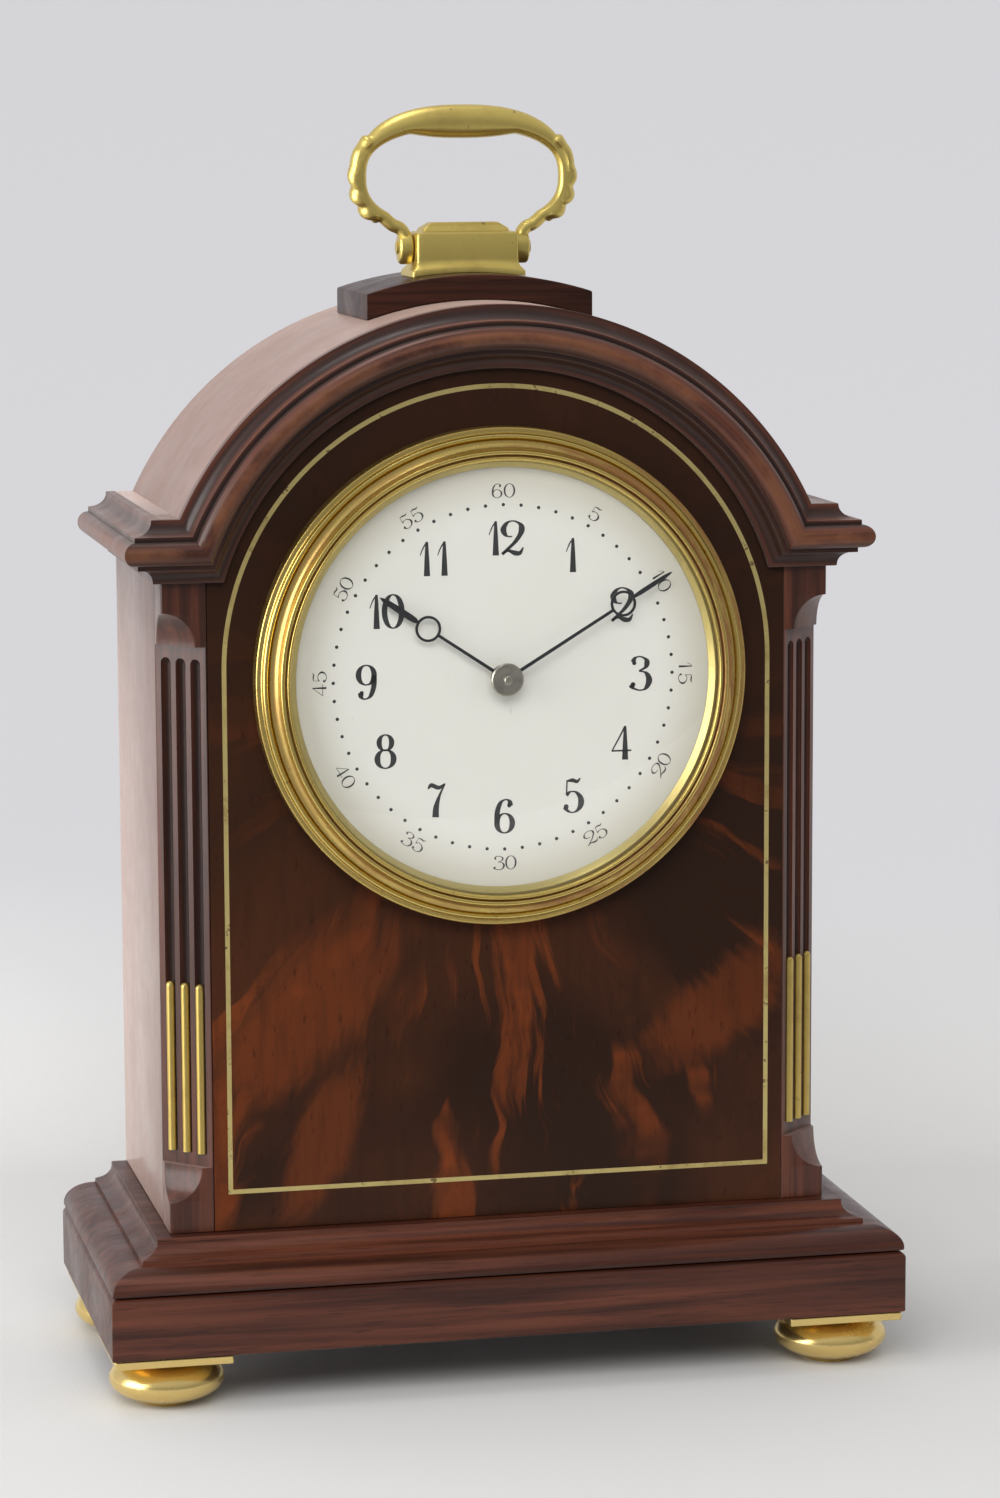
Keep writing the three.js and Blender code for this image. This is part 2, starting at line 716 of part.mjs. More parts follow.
function makeBezel() {
  const inner = glassRadius + seat;
  const flange = seatFlange + seat;
  const face = -seatFlangeThickness - 2 * seat;
  const bead = (lipRadius + ovoloRadius) / 2;
  atDialAdd('bezel', turned([
    [flange, -seat], [bezelRadius, -seat], [bezelRadius, -bezelRim + 0.4],
    [bezelRadius - 0.5, -bezelRim], [ridgeRadius + 1.2, -bezelRim - 0.4],
    [ridgeRadius, -bezelRim - 2.1], [ovoloRadius + 1, -bezelRim - 2.4], [ovoloRadius, -bezelDepth + 0.1],
    [bead + 0.1, -bezelDepth + 0.4], [bead - 0.2, -bezelDepth], [lipRadius, -bezelDepth + 0.2],
    [lipRadius, -bezelDepth + lipThickness], [inner, -bezelDepth + lipThickness],
    [inner, face], [flange, face],
  ]), turnedBrass);
  const spring = lipRadius - running;
  const rise = (r) => glassSag * Math.max(0, 1 - (r / spring) ** glassFullness);
  const steps = [0, 0.5 * spring, 0.8 * spring, spring, glassRadius];
  atDialAdd('bezel_glass', turned([
    ...steps.map((r) => [r, glassBack - glassThickness - rise(r)]),
    ...[...steps].reverse().map((r) => [r, glassBack - rise(r)]),
  ]), glassMaterial);
  const sightFront = glassBack + seat;
  const sightOuter = glassRadius - seat;
  atDialAdd('sight_ring', turned([
    [sightOuter, sightFront], [sightOuter, -dialFront - seat], [sightRadius, -dialFront - seat],
    [sightRadius, -dialFront - seat - 0.3], [sightOuter - 0.8, sightFront],
  ]), turnedBrass);
}

function atDialAdd(name, geometry, material) {
  return add(name, atDial(geometry), material);
}

function makeDial() {
  const outline = new THREE.Shape(arc(0, 0, dialRadius, dialRadius, 0, 360, round).slice(0, -1));
  const bush = hourPipe + 0.5;
  outline.holes.push(new THREE.Path(arc(0, 0, bush, bush, 0, 360, 16).slice(0, -1)));
  const feet = dialFeet().map(({ x, z }) =>
    rod(x, z, dialFootRadius, dialBack - 0.1, frontPlateBack + plateThickness + 0.6));
  atDialAdd('dial', joined(slab(outline, -dialFront, dialBack), ...feet), silvered);
  const sleeve = sleeveRadius;
  atDialAdd('dial_seat', turned([
    [sleeve - seatWall, dialBack + seat], [sleeve, dialBack + seat], [sleeve, -seatFlangeThickness - seat],
    [seatFlange, -seatFlangeThickness - seat], [seatFlange, -seat], [sleeve, -seat], [sleeve, seatLength],
    [sleeve - seatWall, seatLength],
  ]), clockBrass);
}

// wheels
// Straight-flanked teeth: phase is where one tooth points. A form without a tip width has plain
// pointed teeth that meet in a notch.
function toothed(teeth, size, phase, form) {
  const pitch = (size * teeth) / 2;
  const step = (2 * Math.PI) / teeth;
  const outline = [];
  const at = (r, t) => outline.push(new THREE.Vector2(r * Math.cos(t), r * Math.sin(t)));
  for (let i = 0; i < teeth; i += 1) {
    const middle = phase + i * step;
    at(pitch - form.below * size, middle - form.root * step);
    if (form.tip) at(pitch + form.above * size, middle - form.tip * step);
    at(pitch + form.above * size, middle + form.tip * step);
    if (form.tip) at(pitch - form.below * size, middle + form.root * step);
  }
  return outline;
}

const wheelForm = { above: 0.95, below: 1.6, tip: 0, root: 0.5 };
const pinionForm = { above: 0.55, below: 1.35, tip: 0.07, root: 0.2 };

// A crossed-out wheel: teeth, rim and straight arms.
function wheelShape(teeth, size, phase, hub, arms = 3) {
  const shape = new THREE.Shape(toothed(teeth, size, phase, wheelForm));
  const rim = (size * teeth) / 2 - 3.6 * size;
  const arm = 0.9;
  for (let i = 0; i < arms; i += 1) {
    const a = (2 * Math.PI * i) / arms;
    const b = a + (2 * Math.PI) / arms;
    const edge = (r) => Math.asin(arm / r);
    const outer = arc(0, 0, rim, rim, THREE.MathUtils.radToDeg(a + edge(rim)),
      THREE.MathUtils.radToDeg(b - edge(rim)), 4);
    const inner = arc(0, 0, hub, hub, THREE.MathUtils.radToDeg(b - edge(hub)),
      THREE.MathUtils.radToDeg(a + edge(hub)), 1);
    shape.holes.push(new THREE.Path([...outer, ...inner]));
  }
  return shape;
}

const place = (geometry, { x, z }) => geometry.translate(x, 0, dialZ + z);
const heading = (from, to) => Math.atan2(to.z - from.z, to.x - from.x);
const meshPhase = (teeth, direction) => direction + Math.PI / teeth;

// Where the arbors stand, measured from the dial's centre.
const centre = { x: 0, z: 0 };
const barrelArbor = { x: 0, z: (-greatModule * (greatTeeth + centrePinionLeaves)) / 2 };
const contrateRadius = (contrateModule * contrateTeeth) / 2;
const contrateArbor = { x: 0, z: platformLift - contrateRadius - 1.9 };
const thirdArbor = (() => {
  const first = (centreModule * (centreTeeth + pinionLeaves)) / 2;
  const second = (thirdModule * (thirdTeeth + pinionLeaves)) / 2;
  const z = (first ** 2 - second ** 2 + contrateArbor.z ** 2) / (2 * contrateArbor.z);
  return { x: Math.sqrt(first ** 2 - z ** 2), z };
})();
const motionDistance = (cannonModule * (cannonTeeth + minuteWheelTeeth)) / 2;
const motionModule = (2 * motionDistance) / (hourTeeth + minutePinionLeaves);
const minuteArbor = { x: -motionDistance, z: 0 };

// Depths, from the case's front.
const plateFront = frontPlateBack;
const plateInside = plateFront + plateThickness;
const backPlateFront = plateInside + plateGap;
const backPlateBack = backPlateFront + plateThickness;
const centreWheelFront = plateInside + 1.6;
const greatWheelFront = centreWheelFront + wheelThickness + 2.4;
const greatThickness = 2;
const drumBack = greatWheelFront + greatThickness + drumLength;
const thirdWheelFront = plateInside + 15;
const contrateFront = thirdWheelFront + wheelThickness + 4;
const crownHeight = 1.4;
const crownTip = contrateFront + wheelThickness + crownHeight;
const escapeY = crownTip - 0.5 * crownHeight + (contrateModule * escapePinionLeaves) / 2;

const cannonPipe = pivotRadius + 0.15 + pipeWall;
const hourPipe = cannonPipe + running + pipeWall;
const hourHandBack = -dialFront - handLift;
const minuteHandBack = hourHandBack - handThickness - handStep;
const arborBack = backPlateBack + squareReach;
const centrePipeRadius = pivotRadius + running + pipeWall - 0.1;

function dialFeet() {
  return [30, 150, 270].map((a) => {
    const t = THREE.MathUtils.degToRad(a);
    return { x: dialFootCircle * Math.cos(t), z: dialFootCircle * Math.sin(t) };
  });
}

function plateShape() {
  const start = THREE.MathUtils.radToDeg(Math.asin(platformLift / plateRadius));
  return new THREE.Shape(arc(0, 0, plateRadius, plateRadius, 180 - start, 360 + start, 26));
}

const pivotHole = ({ x, z }, r) => new THREE.Path(arc(x, z, r, r, 0, 360, 8).slice(0, -1));

function makePlates() {
  const holes = [[centre, centrePipeRadius], [barrelArbor, squareSide / 2], [thirdArbor, pivotRadius],
    [contrateArbor, pivotRadius]];
  const front = plateShape();
  const back = plateShape();
  for (const [spot, r] of holes) {
    front.holes.push(pivotHole(spot, r + running));
    back.holes.push(pivotHole(spot, r + running));
  }
  dialFeet().forEach((spot) => front.holes.push(pivotHole(spot, dialFootRadius + seat)));
  const pillars = [45, 135, 225, 315].map((a) => {
    const t = THREE.MathUtils.degToRad(a);
    return rod(pillarCircle * Math.cos(t), pillarCircle * Math.sin(t), pillarRadius,
      plateInside - 0.1, backPlateFront - seat, 8);
  });
  const stud = rod(minuteArbor.x, minuteArbor.z, pivotRadius, -3.2, plateFront + 0.1);
  atDialAdd('front_plate', joined(slab(front, plateFront, plateInside), ...pillars, stud), clockBrass);
  const clickStud = rod(clickSpot.x, clickSpot.z, pivotRadius, backPlateBack - 0.1, backPlateBack + 2.4);
  atDialAdd('back_plate', joined(slab(back, backPlateFront, backPlateBack), clickStud), clockBrass);
}

const clickSpot = { x: ratchetRadius + 5, z: barrelArbor.z + 1.2 };

function makeTrain() {
  const toBarrel = heading(centre, barrelArbor);
  const toThird = heading(centre, thirdArbor);
  const toContrate = heading(thirdArbor, contrateArbor);
  const disc = (r, y0, y1, facets = 20) => rod(0, 0, r, y0, y1, facets);

  const great = slab(new THREE.Shape(toothed(greatTeeth, greatModule, Math.PI / 2, wheelForm)),
    greatWheelFront, greatWheelFront + greatThickness);
  const drum = disc(drumRadius, greatWheelFront + greatThickness - 0.1, drumBack, 28);
  const bore = disc(squareSide / 2 + running, 0, caseDepth, 12);
  atDialAddAt('barrel', cut(joined(great, drum), bore), clockBrass, barrelArbor);

  const windArbor = disc(squareSide / 2, plateFront + 0.2, backPlateBack + 1, 12);
  const sq = squareSide / 2;
  const square = box(-sq, sq, backPlateBack + 0.5, arborBack, -sq, sq);
  const ratchetTeethShape = new THREE.Shape();
  for (let i = 0; i < ratchetTeeth; i += 1) {
    const t = (2 * Math.PI * i) / ratchetTeeth;
    const step = (2 * Math.PI) / ratchetTeeth;
    const outer = [ratchetRadius * Math.cos(t), ratchetRadius * Math.sin(t)];
    const root = ratchetRadius - 1.1;
    const inner = [root * Math.cos(t + 0.12 * step), root * Math.sin(t + 0.12 * step)];
    if (i) ratchetTeethShape.lineTo(...outer);
    else ratchetTeethShape.moveTo(...outer);
    ratchetTeethShape.lineTo(...inner);
  }
  const ratchet = slab(ratchetTeethShape, backPlateBack + 0.3, backPlateBack + 1.9);
  atDialAddAt('winding_arbor', joined(windArbor, square, ratchet), steel, barrelArbor);

  const centreShaft = disc(pivotRadius, minuteHandBack - handThickness, arborBack, 8);
  const knob = arborBack - setKnobLength - 1;
  const setKnob = turned([[0, knob], [setKnobRadius, knob], [setKnobRadius, knob + setKnobLength - 0.6],
    [setKnobRadius - 0.8, knob + setKnobLength], [0, knob + setKnobLength]], 12);
  atDialAdd('centre_arbor', joined(centreShaft, setKnob), steel);
  // The centre wheel and its pinion are one pipe that the arbor turns in, so the hands can be set.
  const centrePinion = pinionOn(centrePinionLeaves, greatModule, meshPhase(centrePinionLeaves, toBarrel),
    centreWheelFront + 0.2, greatWheelFront + greatThickness + 0.8);
  const centreWheel = slab(wheelShape(centreTeeth, centreModule, toThird, 3), centreWheelFront,
    centreWheelFront + wheelThickness);
  const centrePipe = disc(centrePipeRadius, plateFront + 0.2, backPlateBack - 0.2, 12);
  atDialAdd('centre_wheel', cut(joined(centreWheel, centrePinion, centrePipe),
    disc(pivotRadius + running, -caseDepth, caseDepth, 10)), clockBrass);

  const thirdPinion = pinionOn(pinionLeaves, centreModule, meshPhase(pinionLeaves, toThird + Math.PI),
    plateInside + 0.5, centreWheelFront + wheelThickness + 1);
  const thirdWheel = slab(wheelShape(thirdTeeth, thirdModule, toContrate, 2.2), thirdWheelFront,
    thirdWheelFront + wheelThickness);
  const thirdShaft = disc(pivotRadius, plateFront + 0.2, backPlateBack - 0.2, 8);
  atDialAddAt('third_wheel', joined(thirdShaft, thirdPinion, thirdWheel), clockBrass, thirdArbor);

  const contratePinion = pinionOn(pinionLeaves, thirdModule, meshPhase(pinionLeaves, toContrate + Math.PI),
    thirdWheelFront - 1, thirdWheelFront + wheelThickness + 1);
  const contrateShaft = disc(pivotRadius, plateFront + 0.2, backPlateBack - 0.2, 8);
  const web = wheelShapePlain(contrateRadius + 0.3, contrateRadius - 1.3, 2);
  atDialAddAt('contrate_wheel', joined(contrateShaft, contratePinion,
    slab(web, contrateFront, contrateFront + wheelThickness), crown()), clockBrass, contrateArbor);
}

// The contrate wheel's teeth stand up from its rim, one pointing straight up.
function crown() {
  const rings = [];
  const low = contrateFront + wheelThickness;
  const inner = contrateRadius - 0.8;
  const outer = contrateRadius + 0.3;
  const shares = [[-0.5, -0.2], [0, 1]];
  for (let i = 0; i < contrateTeeth; i += 1) {
    for (const [share, up] of shares) {
      const t = Math.PI / 2 + ((i + share) * 2 * Math.PI) / contrateTeeth;
      const top = low + up * crownHeight;
      rings.push([[inner, low - 0.5], [outer, low - 0.5], [outer, top], [inner, top]]
        .map(([r, y]) => new THREE.Vector3(r * Math.cos(t), y, r * Math.sin(t))));
    }
  }
  return loft(rings);
}

function wheelShapePlain(outer, rim, hub) {
  const shape = new THREE.Shape(arc(0, 0, outer, outer, 0, 360, contrateTeeth).slice(0, -1));
  for (let i = 0; i < 3; i += 1) {
    const a = 120 * i;
    const edge = (r) => THREE.MathUtils.radToDeg(Math.asin(0.8 / r));
    shape.holes.push(new THREE.Path([
      ...arc(0, 0, rim, rim, a + edge(rim), a + 120 - edge(rim), 5),
      ...arc(0, 0, hub, hub, a + 120 - edge(hub), a + edge(hub), 1),
    ]));
  }
  return shape;
}

function atDialAddAt(name, geometry, material, spot) {
  return add(name, place(geometry, spot), material);
}

function makeClick() {
  const bite = ratchetRadius - 0.35;
  const tip = { x: barrelArbor.x + bite * Math.cos(0.5), z: barrelArbor.z + bite * Math.sin(0.5) };
  const shape = new THREE.Shape([
    new THREE.Vector2(tip.x + 0.5, tip.z + 0.1), new THREE.Vector2(clickSpot.x - 1.2, clickSpot.z - 1.4),
    new THREE.Vector2(clickSpot.x + 1.2, clickSpot.z - 1.6), new THREE.Vector2(clickSpot.x + 2, clickSpot.z),
    new THREE.Vector2(clickSpot.x + 1.4, clickSpot.z + 1.7),
    new THREE.Vector2(clickSpot.x - 1.4, clickSpot.z + 1.6),
    new THREE.Vector2(tip.x + 0.7, tip.z + 0.9),
  ]);
  shape.holes.push(pivotHole(clickSpot, pivotRadius + seat));
  atDialAdd('click', slab(shape, backPlateBack + 0.4, backPlateBack + 1.8), steel);
}

// motion work and hands
function pinionOn(teeth, size, phase, y0, y1) {
  return slab(new THREE.Shape(toothed(teeth, size, phase, pinionForm)), y0, y1);
}

function makeMotionWork() {
  const wheelY = plateFront - motionLift - motionThickness;
  const hourY = -2.4;
  const toMinute = heading(centre, minuteArbor);
  const pipe = rod(0, 0, cannonPipe, minuteHandBack - handThickness, plateFront - 0.6, 14);
  const cannon = pinionOn(cannonTeeth, cannonModule, meshPhase(cannonTeeth, toMinute),
    wheelY - 0.6, plateFront - 0.6);
  atDialAdd('cannon_pinion', cut(joined(pipe, cannon),
    rod(0, 0, pivotRadius + 0.15, -caseDepth, caseDepth)), steel);
  const wheel = slab(wheelShape(minuteWheelTeeth, cannonModule, toMinute + Math.PI, 2.4),
    wheelY, wheelY + motionThickness);
  const pinion = pinionOn(minutePinionLeaves, motionModule, meshPhase(minutePinionLeaves, toMinute + Math.PI),
    hourY - 0.4, wheelY + 0.1);
  const studBore = rod(0, 0, pivotRadius + running, -caseDepth, caseDepth);
  atDialAddAt('minute_wheel', cut(joined(wheel, pinion), studBore), clockBrass, minuteArbor);
  const hourWheel = slab(wheelShape(hourTeeth, motionModule, toMinute, 4), hourY, hourY + 1);
  const hourTube = rod(0, 0, hourPipe, hourHandBack - handThickness, hourY + 1, 16);
  atDialAdd('hour_wheel', cut(joined(hourWheel, hourTube),
    rod(0, 0, cannonPipe + running, -caseDepth, caseDepth, 14)), clockBrass);
}

// A slender hand with an open ring, drawn pointing up and then turned to its hour.
function hand(name, reach, ring, hub, bore, back, angle, shaft) {
  const w = 0.45;
  const around = (r, from, to, n) => arc(0, ring, r, r, from, to, n);
  const slip = THREE.MathUtils.radToDeg(Math.asin(w / handRingRadius));
  const base = THREE.MathUtils.radToDeg(Math.asin(w / hub));
  const outline = new THREE.Shape([
    ...arc(0, 0, hub, hub, 90 + base, 450 - base, 12),
    ...around(handRingRadius, -90 + slip, 90 - slip * 1.4, 6),
    new THREE.Vector2(shaft, ring + handRingRadius + (reach - ring - handRingRadius) * 0.5),
    new THREE.Vector2(0.12, reach), new THREE.Vector2(-0.12, reach),
    new THREE.Vector2(-shaft, ring + handRingRadius + (reach - ring - handRingRadius) * 0.5),
    ...around(handRingRadius, 90 + slip * 1.4, 270 - slip, 6),
  ]);
  outline.holes.push(new THREE.Path(around(handRingRadius - 0.6, 0, 360, 12).slice(0, -1)));
  outline.holes.push(new THREE.Path(arc(0, 0, bore, bore, 0, 360, 12).slice(0, -1)));
  const turn = THREE.MathUtils.degToRad(angle);
  add(name, atDial(slab(outline, back - handThickness, back).rotateY(turn)), bluedSteel);
}

function makeHands() {
  hand('hour_hand', hourHandReach, hourRing, hourPipe + 1, hourPipe + handFit, hourHandBack,
    hourHandAngle, 0.75);
  hand('minute_hand', minuteHandReach, minuteRing, cannonPipe + 1.2, cannonPipe + handFit, minuteHandBack,
    minuteHandAngle, 0.6);
  const back = minuteHandBack - handThickness - seat;
  const dome = bossHeight - 0.5;
  atDialAdd('hand_boss', turned([
    [0, back], [bossRadius, back], [bossRadius, back - 0.5], [bossRadius * 0.8, back - 0.5 - dome * 0.45],
    [bossRadius * 0.35, back - 0.5 - dome * 0.8], [0, back - bossHeight],
  ], 18), steel);
}

// platform escapement
const platformBottom = dialZ + platformLift + seat;
const platformTop = platformBottom + platformThickness;
const leverGap = (escapeRadius / Math.cos(Math.PI / 6)) + 0.2;
const leverY = escapeY - leverGap;
const balanceY = leverY - leverReach;
const escapeLevel = platformTop + 2;
const balanceLevel = platformTop + balanceHeight;
const cockLevel = balanceLevel + balanceRim + 2;

function ringPath(x, y, r, n) {
  return new THREE.Path(arc(x, y, r, r, 0, 360, n).slice(0, -1));
}

function makePlatform() {
  const w = platformWidth / 2;
  const shape = new THREE.Shape([
    new THREE.Vector2(-w, plateFront + 0.2), new THREE.Vector2(w, plateFront + 0.2),
    new THREE.Vector2(w, backPlateBack - 0.2), new THREE.Vector2(-w, backPlateBack - 0.2),
  ]);
  shape.holes.push(ringPath(0, escapeY, 1.6, 14));
  shape.holes.push(ringPath(0, leverY, staffRadius + running, 10));
  shape.holes.push(ringPath(0, balanceY, staffRadius + running, 10));
  add('platform', sheet(shape, platformBottom, platformTop), clockBrass);

  const wheel = [];
  for (let i = 0; i < escapeTeeth; i += 1) {
    const t = (2 * Math.PI * i) / escapeTeeth;
    const at = (r, da) => wheel.push(new THREE.Vector2(r * Math.cos(t + da), escapeY + r * Math.sin(t + da)));
    at(escapeRadius * 0.78, -0.17);
    at(escapeRadius, 0);
    at(escapeRadius * 0.78, 0.03);
  }
  const pinionPhase = Math.PI / 2 + Math.PI;
  const leafPhase = meshPhase(escapePinionLeaves, pinionPhase);
  const pinion = toothed(escapePinionLeaves, contrateModule, leafPhase, pinionForm)
    .map((p) => new THREE.Vector2(p.x, p.y + escapeY));
  const pinionLow = dialZ + contrateArbor.z + contrateRadius - 1;
  add('escape_wheel', joined(
    sheet(new THREE.Shape(wheel), escapeLevel, escapeLevel + 0.4),
    sheet(new THREE.Shape(pinion), pinionLow, platformBottom - 0.3),
    post(0, escapeY, staffRadius, pinionLow - 0.3, escapeLevel + 2, 10),
  ), steel);
}

// The lever: two pallets that bracket the escape wheel and a fork towards the balance.
function makeLever() {
  const clear = escapeRadius + 0.32;
  const pallet = (side) => {
    const a = Math.PI * 1.5 + side * (Math.PI / 6);
    const at = (r, t) => new THREE.Vector2(r * Math.cos(t), escapeY + r * Math.sin(t));
    return [at(clear, a - side * 0.08), at(clear, a + side * 0.09), at(clear + 1.1, a + side * 0.09)];
  };
  const right = pallet(1);
  const left = pallet(-1);
  const fork = balanceY + 1.3;
  const shape = new THREE.Shape([
    new THREE.Vector2(-0.5, leverY - 0.9), new THREE.Vector2(-0.35, fork + 1.2),
    new THREE.Vector2(-0.75, fork),
    new THREE.Vector2(-0.3, fork), new THREE.Vector2(-0.3, fork + 0.6), new THREE.Vector2(0.3, fork + 0.6),
    new THREE.Vector2(0.3, fork), new THREE.Vector2(0.75, fork), new THREE.Vector2(0.35, fork + 1.2),
    new THREE.Vector2(0.5, leverY - 0.9), ...[right[2], right[1], right[0]],
    new THREE.Vector2(0.9, leverY + 0.45), new THREE.Vector2(-0.9, leverY + 0.45), ...left,
  ]);
  add('pallet_lever', joined(sheet(shape, escapeLevel - 0.1, escapeLevel + 0.5),
    post(0, leverY, staffRadius, platformBottom + 0.2, escapeLevel + 2, 10)), steel);
}

function makeBalance() {
  const r = balanceRadius;
  const shape = new THREE.Shape(arc(0, 0, r, r, 0, 360, 20).slice(0, -1));
  for (const start of [0, 180]) {
    shape.holes.push(new THREE.Path([
      ...arc(0, 0, r - balanceRim, r - balanceRim, start + 8, start + 172, 8),
      ...arc(0, 0, 1.4, 1.4, start + 150, start + 30, 3),
    ]));
  }
  const wheel = sheet(shape, balanceLevel, balanceLevel + balanceRim).translate(0, balanceY, 0);
  const staff = post(0, balanceY, staffRadius, platformBottom + 0.2, cockLevel + 1, 10);
  const roller = post(0, balanceY, 2.1, escapeLevel + 1.4, escapeLevel + 2, 12);
  const pin = post(0, balanceY + 1.6, 0.25, escapeLevel + 0.8, escapeLevel + 1.5, 6);
  add('balance_wheel', joined(wheel, staff, roller, pin), castBrass);

  const footY = balanceY - balanceRadius - 1.2;
  const cock = new THREE.Shape([
    new THREE.Vector2(-4.5, footY - 3.4), new THREE.Vector2(4.5, footY - 3.4), new THREE.Vector2(4.5, footY),
    new THREE.Vector2(2.2, balanceY - 1.4), ...arc(0, balanceY, 2.4, 2.4, -40, 220, 9),
    new THREE.Vector2(-2.2, balanceY - 1.4), new THREE.Vector2(-4.5, footY),
  ]);
  cock.holes.push(ringPath(0, balanceY, staffRadius + running, 10));
  add('balance_cock', joined(sheet(cock, cockLevel, cockLevel + 1.4),
    box(-4.5, 4.5, footY - 3.4, footY, platformTop + seat, cockLevel + 0.1)), clockBrass);

  const index = new THREE.Shape([
    ...arc(0, balanceY, 2.1, 2.1, 110, 430, 12),
    new THREE.Vector2(0.25, balanceY + 6.4), new THREE.Vector2(-0.25, balanceY + 6.4),
  ]);
  index.holes.push(ringPath(0, balanceY, staffRadius + running + 0.2, 10));
  add('regulator', sheet(index, cockLevel + 1.4 + seat, cockLevel + 2), steel);
  add('hairspring', hairspring(), bluedSteel);
}

// A flat spiral ribbon from the collet out to its stud.
function hairspring() {
  const coils = 4;
  const perCoil = 10;
  const inner = 0.9;
  const outer = 4.6;
  const level = balanceLevel + balanceRim + 0.7;
  const rings = [];
  for (let i = 0; i <= coils * perCoil; i += 1) {
    const t = (2 * Math.PI * i) / perCoil;
    const r = inner + ((outer - inner) * i) / (coils * perCoil);
    const point = (out, up) => new THREE.Vector3(
      (r + out) * Math.cos(t), balanceY + (r + out) * Math.sin(t), level + up,
    );
    rings.push([point(-0.1, -0.3), point(0.1, -0.3), point(0, 0.3)]);
  }
  return loft(rings, [new THREE.Vector2(-1, 0), new THREE.Vector2(1, 0), new THREE.Vector2(0, 1)]);
}

// back
const flangeBack = caseDepth + seat + ringFlangeThickness;
const hingeX = -(doorRadius + hingeRadius + 1.6);
const hingeY = flangeBack + seat + hingeRadius;
const strapSides = [-strapAngle, 180 + strapAngle];

function makeBack() {
  const sleeve = backHole - seat;
  const ring = turned([[sleeve - ringWall, caseDepth - backThickness], [sleeve, caseDepth - backThickness],
    [sleeve, caseDepth + seat], [ringFlange, caseDepth + seat], [ringFlange, flangeBack],
    [sleeve - ringWall, flangeBack]]);
  const knuckle = (z0, z1) => [
    post(hingeX, hingeY, hingeRadius, z0, z1, 10),
    box(hingeX - hingeRadius, hingeX + hingeRadius, flangeBack - 0.1, hingeY, z0, z1),
  ];
  const hingePin = post(hingeX, hingeY, 0.6, -9, 9, 10);
  const holes = strapSides.map((a) => {
    const t = THREE.MathUtils.degToRad(a);
    return rod(screwCircle * Math.cos(t), screwCircle * Math.sin(t), screwRadius + seat, 0, caseDepth * 2);
  });
  const body = joined(ring, ...knuckle(-9, -4.3), ...knuckle(4.3, 9), hingePin);
  atDialAdd('rear_ring', cut(body, ...holes), turnedBrass);

  const door = turned([[0, flangeBack + seat], [doorRadius, flangeBack + seat],
    [doorRadius, flangeBack + seat + doorThickness + doorRim],
    [doorRadius - 2, flangeBack + seat + doorThickness + doorRim],
    [doorRadius - 2.6, flangeBack + seat + doorThickness], [0, flangeBack + seat + doorThickness]]);
  const leaf = box(hingeX, -doorRadius + 1, flangeBack + seat + 0.1, hingeY, -4, 4);
  const barrel = post(hingeX, hingeY, hingeRadius, -4, 4, 10);
  const knobX = doorRadius - 8;
  const face = flangeBack + seat + doorThickness;
  const knob = turned([[0, face - 0.1], [1.3, face - 0.1], [1.3, face + 1.6], [knobRadius, face + 2.4],
    [knobRadius, face + doorRim + knobHeight - 0.8], [knobRadius - 0.9, face + doorRim + knobHeight],
    [0, face + doorRim + knobHeight]], 12).translate(knobX, 0, 0);
  const bore = post(hingeX, hingeY, 0.6 + running, -20, 20, 10);
  atDialAdd('rear_door', cut(joined(door, leaf, barrel, knob), bore), turnedBrass);

  strapSides.forEach((a, i) => {
    const hand = i ? 'left' : 'right';
    const outer = (sleeveRadius - seatWall) * Math.cos(Math.PI / round) - seat;
    const footBack = caseDepth - backThickness - seat;
    const inner = outer - strapThickness;
    const tabLow = screwCircle - screwRadius - 1.4;
    const w = strapWidth / 2;
    const bar = box(inner, outer, 4, footBack, -w, w);
    const tab = box(tabLow, outer, footBack - strapFootThickness, footBack, -w, w);
    const strap = cut(joined(bar, tab), rod(screwCircle, 0, screwRadius + 0.08, 0, caseDepth, 12));
    const t = -THREE.MathUtils.degToRad(a);
    atDialAdd('strap_' + hand, strap.rotateY(t), clockBrass);
    const head = rod(screwCircle, 0, screwHead, flangeBack + seat, flangeBack + 1.5, 14);
    const tip = footBack - strapFootThickness - 2;
    const shank = rod(screwCircle, 0, screwRadius, tip, flangeBack + seat + 0.1);
    atDialAdd('strap_screw_' + hand, joined(head, shank).rotateY(t), steel);
  });
}

makePlinth();
makeFeet();
makeFront();
makeCarcase();
makeCornice();
makePad();
makePedestal();
makeBail();
makeRods();
makeBezel();
makeDial();
makePlates();
makeTrain();
makeClick();
makeMotionWork();
makeHands();
makePlatform();
makeLever();
makeBalance();
makeBack();

clock.position.y = -(rearMost - plinthProjection) / 2;
export default clock;
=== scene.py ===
import json
import math

import bmesh
import bpy
import numpy as np
from mathutils import Matrix, Vector


